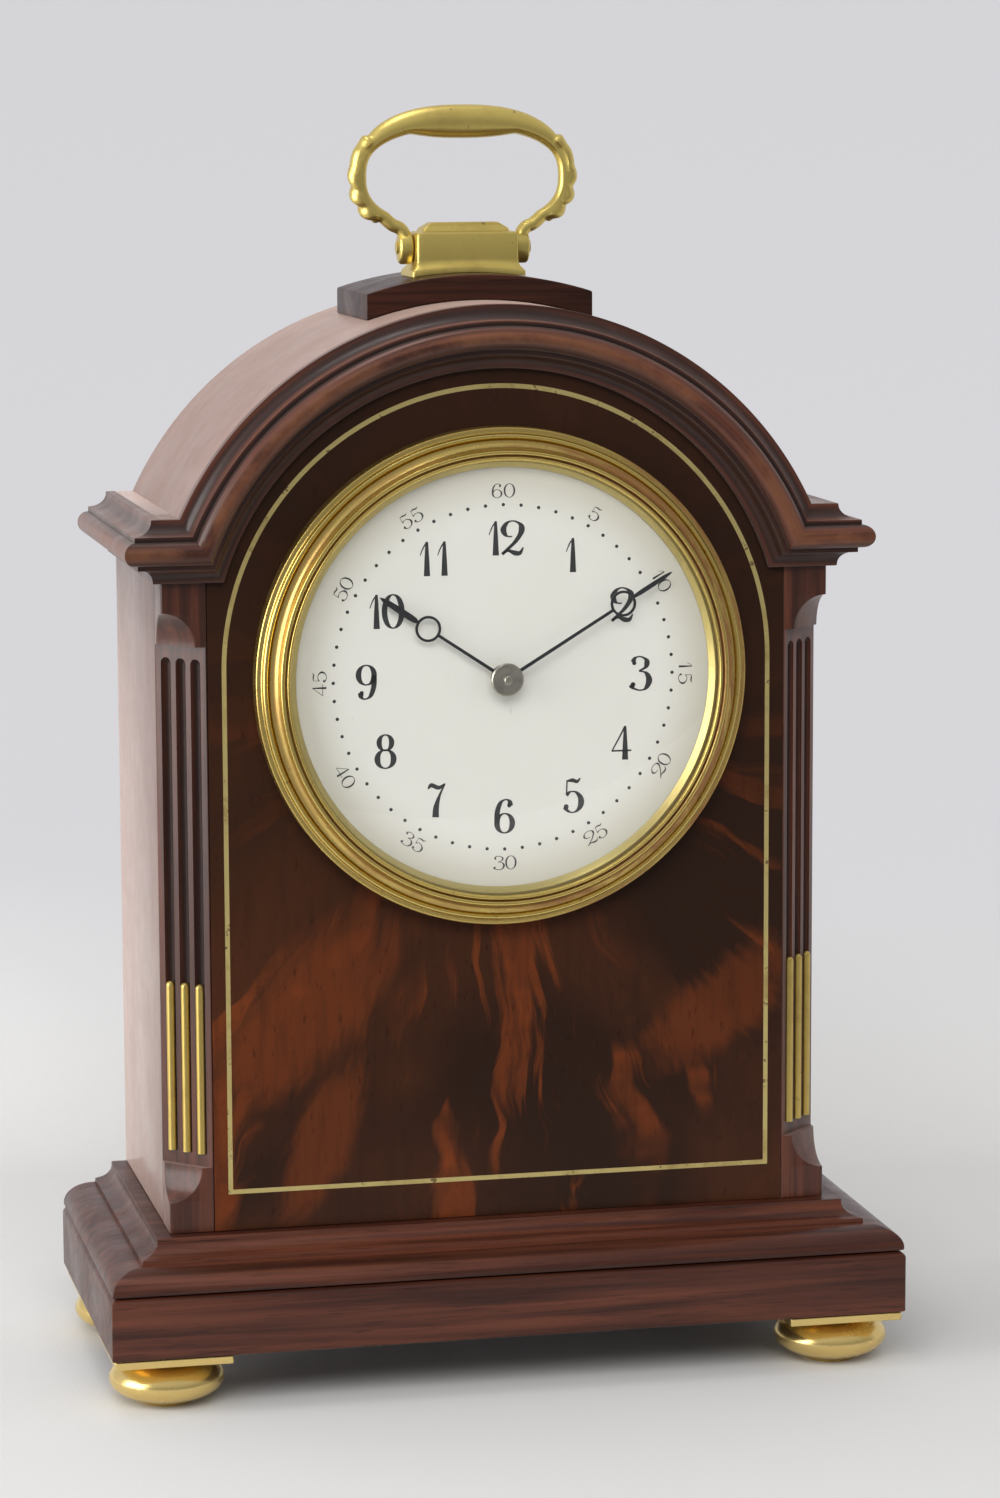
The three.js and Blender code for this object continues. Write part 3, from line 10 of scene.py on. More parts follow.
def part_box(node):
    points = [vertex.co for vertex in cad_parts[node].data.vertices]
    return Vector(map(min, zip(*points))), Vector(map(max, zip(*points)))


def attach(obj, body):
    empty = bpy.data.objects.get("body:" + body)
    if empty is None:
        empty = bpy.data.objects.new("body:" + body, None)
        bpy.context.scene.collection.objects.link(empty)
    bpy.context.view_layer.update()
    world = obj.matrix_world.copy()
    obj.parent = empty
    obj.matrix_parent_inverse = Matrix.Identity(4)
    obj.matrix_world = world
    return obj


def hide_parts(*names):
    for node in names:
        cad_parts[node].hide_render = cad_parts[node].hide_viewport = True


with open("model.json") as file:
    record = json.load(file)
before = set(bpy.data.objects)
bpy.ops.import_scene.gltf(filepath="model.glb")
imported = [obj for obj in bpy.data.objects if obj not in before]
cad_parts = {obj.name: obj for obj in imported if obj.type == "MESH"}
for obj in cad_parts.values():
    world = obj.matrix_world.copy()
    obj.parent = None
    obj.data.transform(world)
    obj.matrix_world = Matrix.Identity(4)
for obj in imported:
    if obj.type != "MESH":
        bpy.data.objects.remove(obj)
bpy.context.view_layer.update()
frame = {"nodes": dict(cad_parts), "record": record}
nodes = frame["nodes"]
pi = math.pi

# lengths are millimetres until a mesh is made; y runs back from the case's front face
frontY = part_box("front_panel")[0].y
unit = 0.001


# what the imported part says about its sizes
def span(node):
    low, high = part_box(node)
    shift = Vector((0, frontY, 0))
    return (low - shift) / unit, (high - shift) / unit


caseHalf = span("side_right")[1].x
caseDepth = span("side_right")[1].y
caseBottom = span("side_right")[0].z
caseTop = span("side_right")[1].z
dialZ = sum(v.z for v in span("dial")) / 2
roofTop = span("roof_arch")[1].z
plinthLow, plinthHigh = span("plinth_band")
mouldLow, mouldHigh = span("plinth_moulding")
archRadius = 84.1
archCentre = roofTop - archRadius
print("frame loaded", len(nodes), "nodes")


# mesh helpers
def makeObject(name, verts, faces, sharp=35):
    mesh = bpy.data.meshes.new(name)
    placed = np.array(verts, float) * unit + np.array([0, frontY, 0])
    mesh.from_pydata(placed.tolist(), [], [list(f) for f in faces])
    return finishMesh(name, mesh, sharp)


def finishMesh(name, mesh, sharp=35):
    mesh.validate()
    mesh.update()
    mesh.shade_smooth()
    mesh.set_sharp_from_angle(angle=math.radians(sharp))
    made = bpy.data.objects.new(name, mesh)
    bpy.context.collection.objects.link(made)
    return made


# give a finished piece its material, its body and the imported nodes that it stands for
def settle(piece, body, material, slotName, *cadNodes):
    if material:
        piece.data.materials.clear()
        piece.data.materials.append(material)
    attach(piece, body)
    if cadNodes:
        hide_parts(*cadNodes)
    return piece


def join(name, pieces, sharp=35):
    verts = []
    faces = []
    for piece in pieces:
        base = len(verts)
        verts.extend(v.co[:] for v in piece.data.vertices)
        faces.extend([base + i for i in p.vertices] for p in piece.data.polygons)
        bpy.data.objects.remove(piece)
    mesh = bpy.data.meshes.new(name)
    mesh.from_pydata(verts, [], faces)
    return finishMesh(name, mesh, sharp)


def facesOut(name, verts, faces, sharp):
    return outward(makeObject(name, verts, faces, sharp), sharp)


def outward(piece, sharp):
    work = bmesh.new()
    work.from_mesh(piece.data)
    bmesh.ops.recalc_face_normals(work, faces=work.faces)
    work.to_mesh(piece.data)
    work.free()
    piece.data.set_sharp_from_angle(angle=math.radians(sharp))
    return piece


def arc(cx, cy, rx, ry, start, end, steps):
    turns = np.radians(np.linspace(start, end, steps + 1))
    return [(cx + rx * math.cos(t), cy + ry * math.sin(t)) for t in turns]


def fullTurn(steps):
    return [2 * pi * k / steps for k in range(steps)]


def eased(points, radius, steps=3, closed=True):
    # each corner of an outline becomes a short curve that ends radius away from it
    made = []
    count = len(points)
    for i, here in enumerate(points):
        if not closed and i in (0, count - 1):
            made.append(here)
            continue
        here = Vector(here)
        before = Vector(points[i - 1]) - here
        after = Vector(points[(i + 1) % count]) - here
        reach = min(radius, 0.45 * before.length, 0.45 * after.length)
        straight = before.angle(after, pi) > math.radians(155)
        if reach < 1e-4 or straight:
            made.append(tuple(here))
            continue
        a = here + before.normalized() * reach
        b = here + after.normalized() * reach
        for k in range(steps + 1):
            s = k / steps
            made.append(tuple(a.lerp(here, s).lerp(here.lerp(b, s), s)))
    return made


def smoothLine(points, steps=7):
    # a Catmull-Rom curve through the points, closed when the last one is the first
    shut = points[0] == points[-1]
    core = points[:-1] if shut else points
    count = len(core)
    spots = []
    spans = count if shut else count - 1
    for i in range(spans):
        if shut:
            a, b, c, d = (Vector(core[(i + k) % count]) for k in (-1, 0, 1, 2))
        else:
            a, b, c, d = (Vector(core[min(max(i + k, 0), count - 1)]) for k in (-1, 0, 1, 2))
        for s in np.linspace(0, 1, steps, endpoint=False):
            spots.append(0.5 * (2 * b + (c - a) * s + (2 * a - 5 * b + 4 * c - d) * s * s
                                + (3 * b - a - 3 * c + d) * s ** 3))
    spots.append(Vector(core[0] if shut else core[-1]))
    return spots


def turned(name, profile, facets=96, sharp=40):
    # a closed profile of (radius, y) turned about the dial's axis
    count = len(profile)
    verts = []
    for t in fullTurn(facets):
        verts.extend((r * math.sin(t), y, dialZ + r * math.cos(t)) for r, y in profile)
    faces = []
    for k in range(facets):
        n = (k + 1) % facets
        for i in range(count):
            j = (i + 1) % count
            faces.append((k * count + i, k * count + j, n * count + j, n * count + i))
    return facesOut(name, verts, faces, sharp)


def loft(name, rings, sharp=35, capped=True):
    count = len(rings[0])
    verts = [p for ring in rings for p in ring]
    faces = []
    last = len(rings) - 1 if capped else len(rings)
    for r in range(last):
        n = (r + 1) % len(rings)
        for i in range(count):
            j = (i + 1) % count
            faces.append((r * count + i, r * count + j, n * count + j, n * count + i))
    if capped:
        faces.append(tuple(range(count)))
        faces.append(tuple((len(rings) - 1) * count + i for i in range(count)))
    return facesOut(name, verts, faces, sharp)


def slab(name, loops, front, back, bevel=0.0, sharp=35, steps=2):
    # outlines in x and z, the first one outside, made solid from front to back
    curve = bpy.data.curves.new(name, "CURVE")
    curve.dimensions = "2D"
    curve.fill_mode = "BOTH"
    curve.extrude = (back - front) / 2 - bevel
    curve.bevel_depth = bevel
    curve.bevel_resolution = steps
    curve.offset = -bevel
    for loop in loops:
        spline = curve.splines.new("POLY")
        spline.points.add(len(loop) - 1)
        for point, (x, z) in zip(spline.points, loop):
            point.co = (x, z, 0, 1)
        spline.use_cyclic_u = True
    holder = bpy.data.objects.new(name, curve)
    bpy.context.collection.objects.link(holder)
    bpy.context.view_layer.update()
    raw = bpy.data.meshes.new_from_object(holder.evaluated_get(bpy.context.evaluated_depsgraph_get()))
    verts = [(v.co.x, (front + back) / 2 - v.co.z, v.co.y) for v in raw.vertices]
    faces = [tuple(p.vertices) for p in raw.polygons]
    bpy.data.objects.remove(holder)
    bpy.data.curves.remove(curve)
    bpy.data.meshes.remove(raw)
    return facesOut(name, verts, faces, sharp)


def block(name, x0, x1, y0, y1, z0, z1, bevel=0.3):
    edge = eased([(x0, z0), (x1, z0), (x1, z1), (x0, z1)], bevel, 3)
    return slab(name, [edge], y0, y1, bevel)


def levelRing(x, y, z, radius, facets):
    return [(x + radius * math.cos(t), y + radius * math.sin(t), z) for t in fullTurn(facets)]


def post(name, x, y, radius, low, high, facets=24, dome=0.0):
    rings = []
    for z, r in [(low, radius)] + [(high - dome + dome * math.sin(t), radius * math.cos(t))
                                   for t in np.radians(np.linspace(0, 84, 8 if dome else 1))]:
        rings.append(levelRing(x, y, z, r, facets))
    return loft(name, rings)


# shader helpers
def put(tree, slot, value):
    if isinstance(value, Wire):
        tree.links.new(value.socket, slot)
    else:
        slot.default_value = value


class Wire:
    def __init__(self, tree, socket):
        self.tree = tree
        self.socket = socket

    def math(self, operation, *others):
        node = self.tree.nodes.new("ShaderNodeMath")
        node.operation = operation
        for slot, value in zip(node.inputs, (self, *others)):
            put(self.tree, slot, value)
        return Wire(self.tree, node.outputs[0])

    def __add__(self, other):
        return self.math("ADD", other)

    def __sub__(self, other):
        return self.math("SUBTRACT", other)

    def __rsub__(self, other):
        return (self * -1.0) + other

    def __mul__(self, other):
        return self.math("MULTIPLY", other)

    def __truediv__(self, other):
        return self.math("DIVIDE", other)

    def __rtruediv__(self, other):
        return self.math("POWER", -1.0) * other

    def __pow__(self, other):
        return self.math("POWER", other)

    __radd__ = __add__
    __rmul__ = __mul__

    def within(self, low, high):
        node = self.tree.nodes.new("ShaderNodeMapRange")
        node.interpolation_type = "SMOOTHSTEP"
        put(self.tree, node.inputs["Value"], self)
        put(self.tree, node.inputs["From Min"], low)
        put(self.tree, node.inputs["From Max"], high)
        return Wire(self.tree, node.outputs[0])


class Paint:
    def __init__(self, name):
        self.material = bpy.data.materials.new(name)
        self.material.use_nodes = True
        self.tree = self.material.node_tree
        self.tree.nodes.clear()

    def node(self, kind, settings=None, values=None, output=0):
        made = self.tree.nodes.new("ShaderNode" + kind)
        for key, value in (settings or {}).items():
            setattr(made, key, value)
        for key, value in (values or {}).items():
            put(self.tree, made.inputs[key], value)
        return Wire(self.tree, made.outputs[output])

    def place(self, scale=(1, 1, 1), turn=(0, 0, 0), move=(0, 0, 0)):
        at = self.node("TexCoord", output="Object")
        return self.node("Mapping", {}, {"Vector": at, "Scale": scale, "Rotation": turn, "Location": move})

    def axes(self, where=None):
        parts = self.tree.nodes.new("ShaderNodeSeparateXYZ")
        put(self.tree, parts.inputs[0], where or self.node("TexCoord", output="Object"))
        return [Wire(self.tree, out) for out in parts.outputs]

    def vector(self, x, y, z):
        return self.node("CombineXYZ", {}, {"X": x, "Y": y, "Z": z})

    def noise(self, where, scale, detail=4.0, rough=0.55, twist=0.0):
        return self.node("TexNoise", {}, {"Vector": where, "Scale": scale, "Detail": detail,
                                          "Roughness": rough, "Distortion": twist})

    def mix(self, share, a, b):
        made = self.tree.nodes.new("ShaderNodeMix")
        made.data_type = "RGBA"
        put(self.tree, made.inputs[0], share)
        put(self.tree, made.inputs[6], a)
        put(self.tree, made.inputs[7], b)
        return Wire(self.tree, made.outputs[2])

    def bump(self, height, strength, distance=0.0002):
        return self.node("Bump", {}, {"Height": height, "Strength": strength, "Distance": distance})

    def surface(self, **inputs):
        named = {key.replace("_", " "): value for key, value in inputs.items()}
        shader = self.node("BsdfPrincipled", {}, named)
        out = self.tree.nodes.new("ShaderNodeOutputMaterial")
        self.tree.links.new(shader.socket, out.inputs[0])
        return self.material


def shade(r, g, b):
    return (r, g, b, 1.0)


# front panel, its line and the corners' cant
face = {
    "roofBoard": 8.0, "stringInset": 14.7, "stringFoot": 9.3, "stringWidth": 1.1, "stringDrop": 1.1,
    "stringSlack": 0.03, "stringProud": 0.02, "stringDeep": 1.0, "seatHole": 52.0, "cantLeg": 10.4,
    "fit": 0.2,
}

# woods
woodTones = {
    "dark": shade(0.022, 0.0060, 0.0034),
    "light": shade(0.085, 0.0245, 0.0125),
    "poreAndShade": shade(0.008, 0.0028, 0.002),
    "bloom": shade(0.95, 0.70, 0.60),
    "wearAndHighlight": shade(0.17, 0.065, 0.028),
    "flameDark": shade(0.018, 0.0082, 0.0048),
    "flameMiddle": shade(0.052, 0.0165, 0.0070),
    "flameLight": shade(0.128, 0.0290, 0.0078),
}
# broad pale patches of the veneer: x, height over the case's foot, length, width, slant, strength
flamePatches = [
    (-48.0, 52.0, 34.0, 14.0, 0.75, 0.56),
    (56.0, 50.0, 26.0, 11.0, 0.9, 0.48),
    (-44.0, 20.0, 22.0, 8.0, 0.45, 0.5),
]


def mahogany(name, grain="x", tone=1.0, gloss=0.3, bloom=0.0, hollow=None):
    p = Paint(name)
    along = "xyz".index(grain)
    fibres = [380.0, 380.0, 380.0]
    fibres[along] = 11.0
    broad = [60.0, 60.0, 60.0]
    broad[along] = 6.0
    fine = [2400.0, 2400.0, 2400.0]
    fine[along] = 90.0
    fibre = p.noise(p.place(scale=fibres), 1.0, 5.0, 0.6, 0.4)
    band = p.noise(p.place(scale=broad, move=(3.1, 1.7, 0.4)), 1.0, 3.0)
    poreAndShade = p.noise(p.place(scale=fine), 1.0, 2.0, 0.5).within(0.6, 0.72)
    wear = p.noise(p.place(), 55.0, 5.0, 0.7)
    light = tuple(tone * c for c in woodTones["light"][:3]) + (1.0,)
    dark = tuple(tone * c for c in woodTones["dark"][:3]) + (1.0,)
    wood = p.mix(fibre.within(0.32, 0.7), dark, light)
    wood = p.mix(band.within(0.42, 0.66) * 0.55, wood, dark)
    wood = p.mix(poreAndShade * 0.55, wood, woodTones["poreAndShade"])
    # painted shade: a hollow given here darkens the wood and takes its gloss away
    if hollow:
        wood = p.mix(hollow(p) * (wear.within(0.25, 0.6) * 0.3 + 0.6), wood, woodTones["poreAndShade"])
        gloss = (1.0 - hollow(p)) * gloss
    dent = p.bump(fibre * 0.4 - poreAndShade * 0.6 + wear * 0.25, 0.2, 0.0001)
    return p.surface(Base_Color=wood, Roughness=wear.within(0.3, 0.75) * 0.2 + 0.3, Coat_Weight=gloss,
                     Specular_IOR_Level=0.25, Coat_Roughness=0.2, Sheen_Weight=bloom, Sheen_Roughness=0.45,
                     Sheen_Tint=woodTones["bloom"], Normal=dent)


def fluteHollow(p):
    # how far a point lies behind the canted face, so that painted shade darkens the flutes inside
    x, y, z = p.axes()
    depth = (y - frontY) - x.math("ABSOLUTE") + (caseHalf - face["cantLeg"]) * unit
    depth = depth / (math.sqrt(2) * unit)
    return depth.within(0.35, 1.1) * (1.0 - depth.within(1.6, 2.2))


def curvedMahogany(name, bloom=0.0, grimeAndShade=0.0):
    # grain that follows the piece's own run, kept in its attribute, with dirt and painted shade darkening the
    # mouldings' hollows
    p = Paint(name)
    run = p.node("Attribute", {"attribute_name": "run"}, output="Vector")
    x, y, z = p.axes(run)
    where = p.vector(x * 12.0, y * 520.0, z * 520.0)
    fibre = p.noise(where, 1.0, 5.0, 0.62, 0.5)
    poreAndShade = p.noise(p.vector(x * 95.0, y * 2400.0, z * 2400.0), 1.0, 2.0, 0.5).within(0.6, 0.72)
    wear = p.noise(p.place(), 60.0, 5.0, 0.7)
    wood = p.mix(fibre.within(0.32, 0.7), woodTones["dark"], woodTones["light"])
    wood = p.mix(poreAndShade * 0.55, wood, woodTones["poreAndShade"])
    # dirt and painted shade: the coves, the quirk under the top cove and the lower cove are darkened
    if grimeAndShade:
        drop = z / unit
        cove = drop.within(0.5, 1.4) * (1.0 - drop.within(3.0, 3.5))
        quirk = drop.within(3.8, 4.2) * (1.0 - drop.within(4.9, 5.4))
        lower = drop.within(9.8, 10.4) * (1.0 - drop.within(13.6, 14.4) * 0.5)
        dirtAndShade = cove * 0.8 + quirk + lower * 0.7
        wood = p.mix((dirtAndShade * (wear.within(0.2, 0.6) * 0.45 + 0.55) * grimeAndShade).math("MINIMUM", 0.95), wood,
                     woodTones["poreAndShade"])
        # worn finish and painted highlight: the most proud part of the moulding's nose is lightened
        wearAndHighlight = (y / unit).within(8.6, 9.4) * wear.within(0.35, 0.65)
        wood = p.mix(wearAndHighlight * 0.5, wood, woodTones["wearAndHighlight"])
    dent = p.bump(fibre * 0.4 - poreAndShade * 0.6 + wear * 0.25, 0.2, 0.0001)
    return p.surface(Base_Color=wood, Roughness=wear.within(0.3, 0.75) * 0.2 + 0.32, Coat_Weight=0.2,
                     Specular_IOR_Level=0.3, Coat_Roughness=0.22, Sheen_Weight=bloom, Sheen_Roughness=0.45,
                     Sheen_Tint=woodTones["bloom"], Normal=dent)


def flameVeneer():
    # feathers that hang from behind the dial and fan out downward, with a few broad soft patches beside them
    p = Paint("flameVeneer")
    x, y, z = p.axes()
    down = dialZ * unit - z
    sway = p.noise(p.place(), 15.0, 3.0, 0.55) - 0.5
    ripple = p.noise(p.place(scale=(1, 1, 0.5), move=(0.5, 0, 0.3)), 60.0, 3.0, 0.6) - 0.5
    lean = x.math("ARCTAN2", down) + sway * 0.35 + ripple * 0.06
    far = (x * x + down * down).math("SQRT") + sway * 0.03
    tongue = p.noise(p.vector(lean * 7.5, far * 17.0 - lean * 2.0, 0.3), 1.0, 2.0, 0.45, 0.6)
    edge = p.noise(p.vector(lean * 30.0, far * 30.0, 1.7), 1.0, 4.0, 0.62, 0.9)
    patch = p.noise(p.place(move=(0.37, 0, 0.12)), 23.0, 3.0, 0.55, 0.8)
    fibre = p.noise(p.place(scale=(420, 420, 42), turn=(0, 0.12, 0)), 1.0, 5.0, 0.65, 0.3)
    poreAndShade = p.noise(p.place(scale=(900, 900, 260)), 1.0, 2.0).within(0.62, 0.75)
    cross = p.noise(p.place(scale=(30, 1, 150), turn=(0, 0.25, 0)), 1.0, 2.0, 0.5, 0.3)

    def broadPatch(atX, height, long, wide, slant):
        away = x - atX * unit
        rise = z - (caseBottom + height) * unit
        along = away * math.sin(slant) + rise * math.cos(slant)
        across = away * math.cos(slant) - rise * math.sin(slant)
        reach = ((along / (long * unit)) ** 2.0 + (across / (wide * unit)) ** 2.0).math("SQRT")
        return 1.0 - (reach + (edge - 0.5) * 0.9 + (patch - 0.5) * 1.2).within(0.55, 1.05)

    low = 1.0 - (z - 0.085).within(0.0, 0.10)
    feather = (tongue + (edge - 0.5) * 0.24).within(0.51, 0.6) * patch.within(0.38, 0.6)
    feather = feather * (cross.within(0.25, 0.6) * 0.4 + 0.6)
    thin = edge.within(0.6, 0.72) * patch.within(0.45, 0.6) * 0.3
    flame = feather * 0.8 + thin
    for *place, strength in flamePatches:
        flame = flame.math("MAXIMUM", broadPatch(*place) * strength)
    flame = (flame * (low * 0.95 + 0.05)).math("MINIMUM", 1.0)
    broad = p.noise(p.place(move=(0.7, 0, 0.2)), 14.0, 3.0, 0.5, 0.5).within(0.3, 0.7)
    ground = p.mix(broad * (low * 0.75 + 0.15), woodTones["flameDark"], woodTones["flameMiddle"])
    wood = p.mix(flame, ground, woodTones["flameLight"])
    wood = p.mix(fibre.within(0.42, 0.72) * 0.38, wood, woodTones["flameDark"])
    wood = p.mix(poreAndShade * 0.4, wood, woodTones["poreAndShade"])
    mote = p.noise(p.place(), 1500.0, 2.0, 0.5).within(0.76, 0.8)
    wood = p.mix(mote * 0.5, wood, woodTones["wearAndHighlight"])
    dent = p.bump(p.noise(p.place(), 40.0, 4.0, 0.6) - poreAndShade * 0.4, 0.12, 0.0001)
    return p.surface(Base_Color=wood, Roughness=0.3 + edge * 0.08, Coat_Weight=0.06, Coat_Roughness=0.15,
                     Specular_IOR_Level=0.08, Normal=dent)


# metals, dial and glass
def brass(name, tint, rough, stain, pits, often=0.0):
    p = Paint(name)
    cloud = p.noise(p.place(), 60.0, 6.0, 0.65)
    speck = p.noise(p.place(move=(2, 5, 1)), 420.0, 3.0, 0.6).within(0.66 - often, 0.75 - often)
    aged = cloud.within(0.48, 0.74) * stain
    tone = p.mix(aged, shade(*tint), shade(0.33, 0.19, 0.06))
    tone = p.mix(speck * pits, tone, shade(0.07, 0.035, 0.012))
    dent = p.bump(p.noise(p.place(), 900.0, 3.0) * 0.3 - speck, 0.25, 0.00008)
    return p.surface(Base_Color=tone, Metallic=0.94 - speck * pits * 0.7, Roughness=cloud * 0.2 + rough,
                     Normal=dent)


def bezelBrass():
    # lacquered brass with red tarnish kept in the hollows between its turned lines, and more of it towards
    # the right side as painted shade
    p = Paint("bezelBrass")
    x, y, z = p.axes()
    up = z - dialZ * unit
    ring = (x * x + up * up).math("SQRT") / unit
    lean = x.math("ARCTAN2", up)
    cloud = p.noise(p.vector(lean * 3.5, ring * 0.35, 0.0), 1.0, 6.0, 0.7, 0.4)
    lathe = p.noise(p.vector(lean * 1.2, ring * 6.0, 2.0), 1.0, 3.0)
    speck = p.noise(p.place(), 500.0, 4.0, 0.65).within(0.62, 0.74)
    hollow = (ring - 53.9).within(0.0, 0.5) * (1.0 - (ring - 55.6).within(0.0, 0.9))
    groove = 1.0 - (ring - 52.85).math("ABSOLUTE").within(0.15, 0.5)
    outer = (ring - 57.6).within(0.0, 1.2)
    # painted shade: the tarnish grows heavier towards the right side, which is darker because of how the
    # light falls
    far = x.within(-0.01, 0.055) * 1.1 + 0.65
    aged = (hollow * 0.8 + groove + outer * 0.4 + 0.12) * (cloud.within(0.3, 0.66) * 0.85 + 0.15) * far
    tone = p.mix(lathe * 0.3, shade(0.78, 0.59, 0.18), shade(0.56, 0.41, 0.11))
    tone = p.mix(aged.math("MINIMUM", 0.85), tone, shade(0.30, 0.12, 0.05))
    tone = p.mix(speck * 0.45, tone, shade(0.12, 0.05, 0.02))
    dent = p.bump(lathe * 0.6 - speck * 0.4, 0.2, 0.00008)
    return p.surface(Base_Color=tone, Metallic=1.0 - aged * 0.25,
                     Roughness=0.2 + aged * 0.22 + lathe * 0.06, Normal=dent)


def steelPaint(name, tint, rough):
    p = Paint(name)
    x, y, z = p.axes()
    up = z - dialZ * unit
    ring = (x * x + up * up).math("SQRT") * 5200.0
    line = p.noise(p.vector(ring, 0.0, 0.0), 1.0, 2.0)
    cloud = p.noise(p.place(), 300.0, 4.0)
    tone = p.mix(cloud.within(0.35, 0.7) * 0.5, shade(*tint), shade(*(0.55 * c for c in tint)))
    return p.surface(Base_Color=tone, Metallic=1.0, Roughness=rough + line * 0.12,
                     Normal=p.bump(line, 0.2, 0.00003))


def dialFace():
    p = Paint("silveredDial")
    x, y, z = p.axes()
    up = z - dialZ * unit
    ring = (x * x + up * up).math("SQRT") / unit
    cloud = p.noise(p.place(), 26.0, 4.0, 0.5)
    fleck = p.noise(p.place(move=(1, 2, 3)), 230.0, 2.0, 0.6).within(0.72, 0.8)
    tone = p.mix(cloud, shade(0.68, 0.675, 0.625), shade(0.645, 0.635, 0.575))
    # painted shade and painted reflection of the brass bezel: the dial turns darker and yellower towards its
    # edge
    tone = p.mix(ring.within(37.0, 50.0) * 0.5, tone, shade(0.40, 0.365, 0.25))
    tone = p.mix(fleck * 0.3, tone, shade(0.42, 0.36, 0.26))
    return p.surface(Base_Color=tone, Metallic=0.08, Roughness=cloud * 0.1 + 0.4,
                     Normal=p.bump(p.noise(p.place(), 2600.0, 2.0), 0.08, 0.00002))


def inkPaint():
    p = Paint("blackFigures")
    worn = p.noise(p.place(), 900.0, 3.0)
    tone = p.mix(worn.within(0.55, 0.8) * 0.4, shade(0.012, 0.012, 0.012), shade(0.06, 0.058, 0.055))
    return p.surface(Base_Color=tone, Roughness=worn * 0.2 + 0.4)


def glassPaint():
    # thin glass: it lets the light straight through to the dial and keeps a faint gloss
    p = Paint("convexGlass")
    smear = p.noise(p.place(), 30.0, 3.0)
    return p.surface(Base_Color=shade(0.93, 0.95, 0.94), Metallic=1.0, Alpha=0.04,
                     Roughness=smear.within(0.4, 0.9) * 0.03 + 0.01)


paints = {
    "moulding": mahogany("mahoganyMoulding", "x", 1.1, 0.15),
    "side": mahogany("mahoganySide", "z", 1.0, 0.7, 0.5),
    "post": mahogany("mahoganyPost", "z", 1.0, 0.3, 0.26, fluteHollow),
    "roof": mahogany("mahoganyPad", "x", 0.6, 0.1),
    "back": mahogany("mahoganyBack", "z", 0.8, 0.15),
    "arch": curvedMahogany("mahoganyRoof", 0.5),
    "cornice": curvedMahogany("mahoganyCornice", 0.15, 1.0),
    "flame": flameVeneer(),
    "cast": brass("castBrass", (0.72, 0.56, 0.165), 0.27, 0.4, 0.85, 0.015),
    "foot": brass("footBrass", (0.78, 0.58, 0.22), 0.16, 0.15, 0.1),
    "line": brass("lineBrass", (0.74, 0.60, 0.25), 0.4, 0.7, 0.9, 0.05),
    "rod": brass("rodBrass", (0.60, 0.44, 0.13), 0.22, 0.5, 0.4),
    "bezel": bezelBrass(),
    "gilt": brass("giltRing", (0.58, 0.47, 0.17), 0.3, 0.25, 0.2),
    "clock": brass("movementBrass", (0.70, 0.54, 0.22), 0.24, 0.2, 0.1),
    "rear": brass("rearBrass", (0.66, 0.50, 0.18), 0.22, 0.25, 0.2),
    "steel": steelPaint("polishedSteel", (0.46, 0.43, 0.36), 0.3),
    "hand": steelPaint("handSteel", (0.05, 0.05, 0.055), 0.35),
    "dial": dialFace(),
    "ink": inkPaint(),
    "glass": glassPaint(),
}
slotPaint = {
    "mahogany": "side", "flame_veneer": "flame", "cast_brass": "cast", "turned_brass": "bezel",
    "clock_brass": "clock", "silvered_dial": "dial", "steel": "steel", "dark_steel": "hand", "glass": "glass",
}
for part in frame["record"]["subparts"]:
    paint = "rear" if part["node"] in ("rear_ring", "rear_door") else slotPaint[part["material_slot"]]
    mesh = nodes[part["node"]].data
    mesh.materials.clear()
    mesh.materials.append(paints[paint])
print("materials made", len(paints))

# plinth and feet
plinth = {
    "ovoloOut": 16.1, "ovoloDepth": 7.1, "ovoloHeight": 4.7, "fillet": 8.0, "filletHeight": 1.1,
    "coveHeight": 3.2, "topOut": 3.8, "lap": 1.0, "bandBevel": 0.9,
}
feet = {"radius": 13.8, "plate": 2.0, "sole": 0.46, "neck": 0.44, "facets": 56}


def basePiece(name, profile):
    rings = []
    for out, z in profile:
        front = [(-caseHalf - out, -out), (caseHalf + out, -out)]
        outline = eased(front + [(caseHalf + out, caseDepth), (-caseHalf - out, caseDepth)], 0.5, 3)
        rings.append([(x, y, z) for x, y in outline])
    return loft(name, rings, 30)


bandOut = -plinthLow.y
band = eased([(bandOut - 2, plinthLow.z), (bandOut, plinthLow.z),
              (bandOut, plinthHigh.z - plinth["bandBevel"]), (bandOut - 1.0, plinthHigh.z),
              (bandOut - 3, plinthHigh.z)], 0.45, 3, closed=False)
plinthBand = basePiece("plinthBoard", band)
settle(plinthBand, "clock_body", paints["moulding"], "mahogany", "plinth_band")

ovoloFoot = mouldLow.z + plinth["lap"]
filletFoot = ovoloFoot + plinth["ovoloHeight"]
coveFoot = filletFoot + plinth["filletHeight"]
moulding = [(plinth["ovoloOut"] - plinth["lap"], mouldLow.z)]
moulding += arc(plinth["ovoloOut"] - plinth["ovoloDepth"], ovoloFoot, plinth["ovoloDepth"],
                plinth["ovoloHeight"], -8, 88, 12)
moulding += [(plinth["fillet"] + 0.1, filletFoot), (plinth["fillet"], coveFoot - 0.1)]
moulding += arc(plinth["fillet"], coveFoot + plinth["coveHeight"], plinth["fillet"] - plinth["topOut"],
                plinth["coveHeight"], 262, 182, 9)
moulding += [(plinth["topOut"], mouldHigh.z - 0.15), (plinth["topOut"] - 0.15, mouldHigh.z)]
plinthMoulding = basePiece("plinthMoulding", moulding)
settle(plinthMoulding, "clock_body", paints["moulding"], "mahogany", "plinth_moulding")

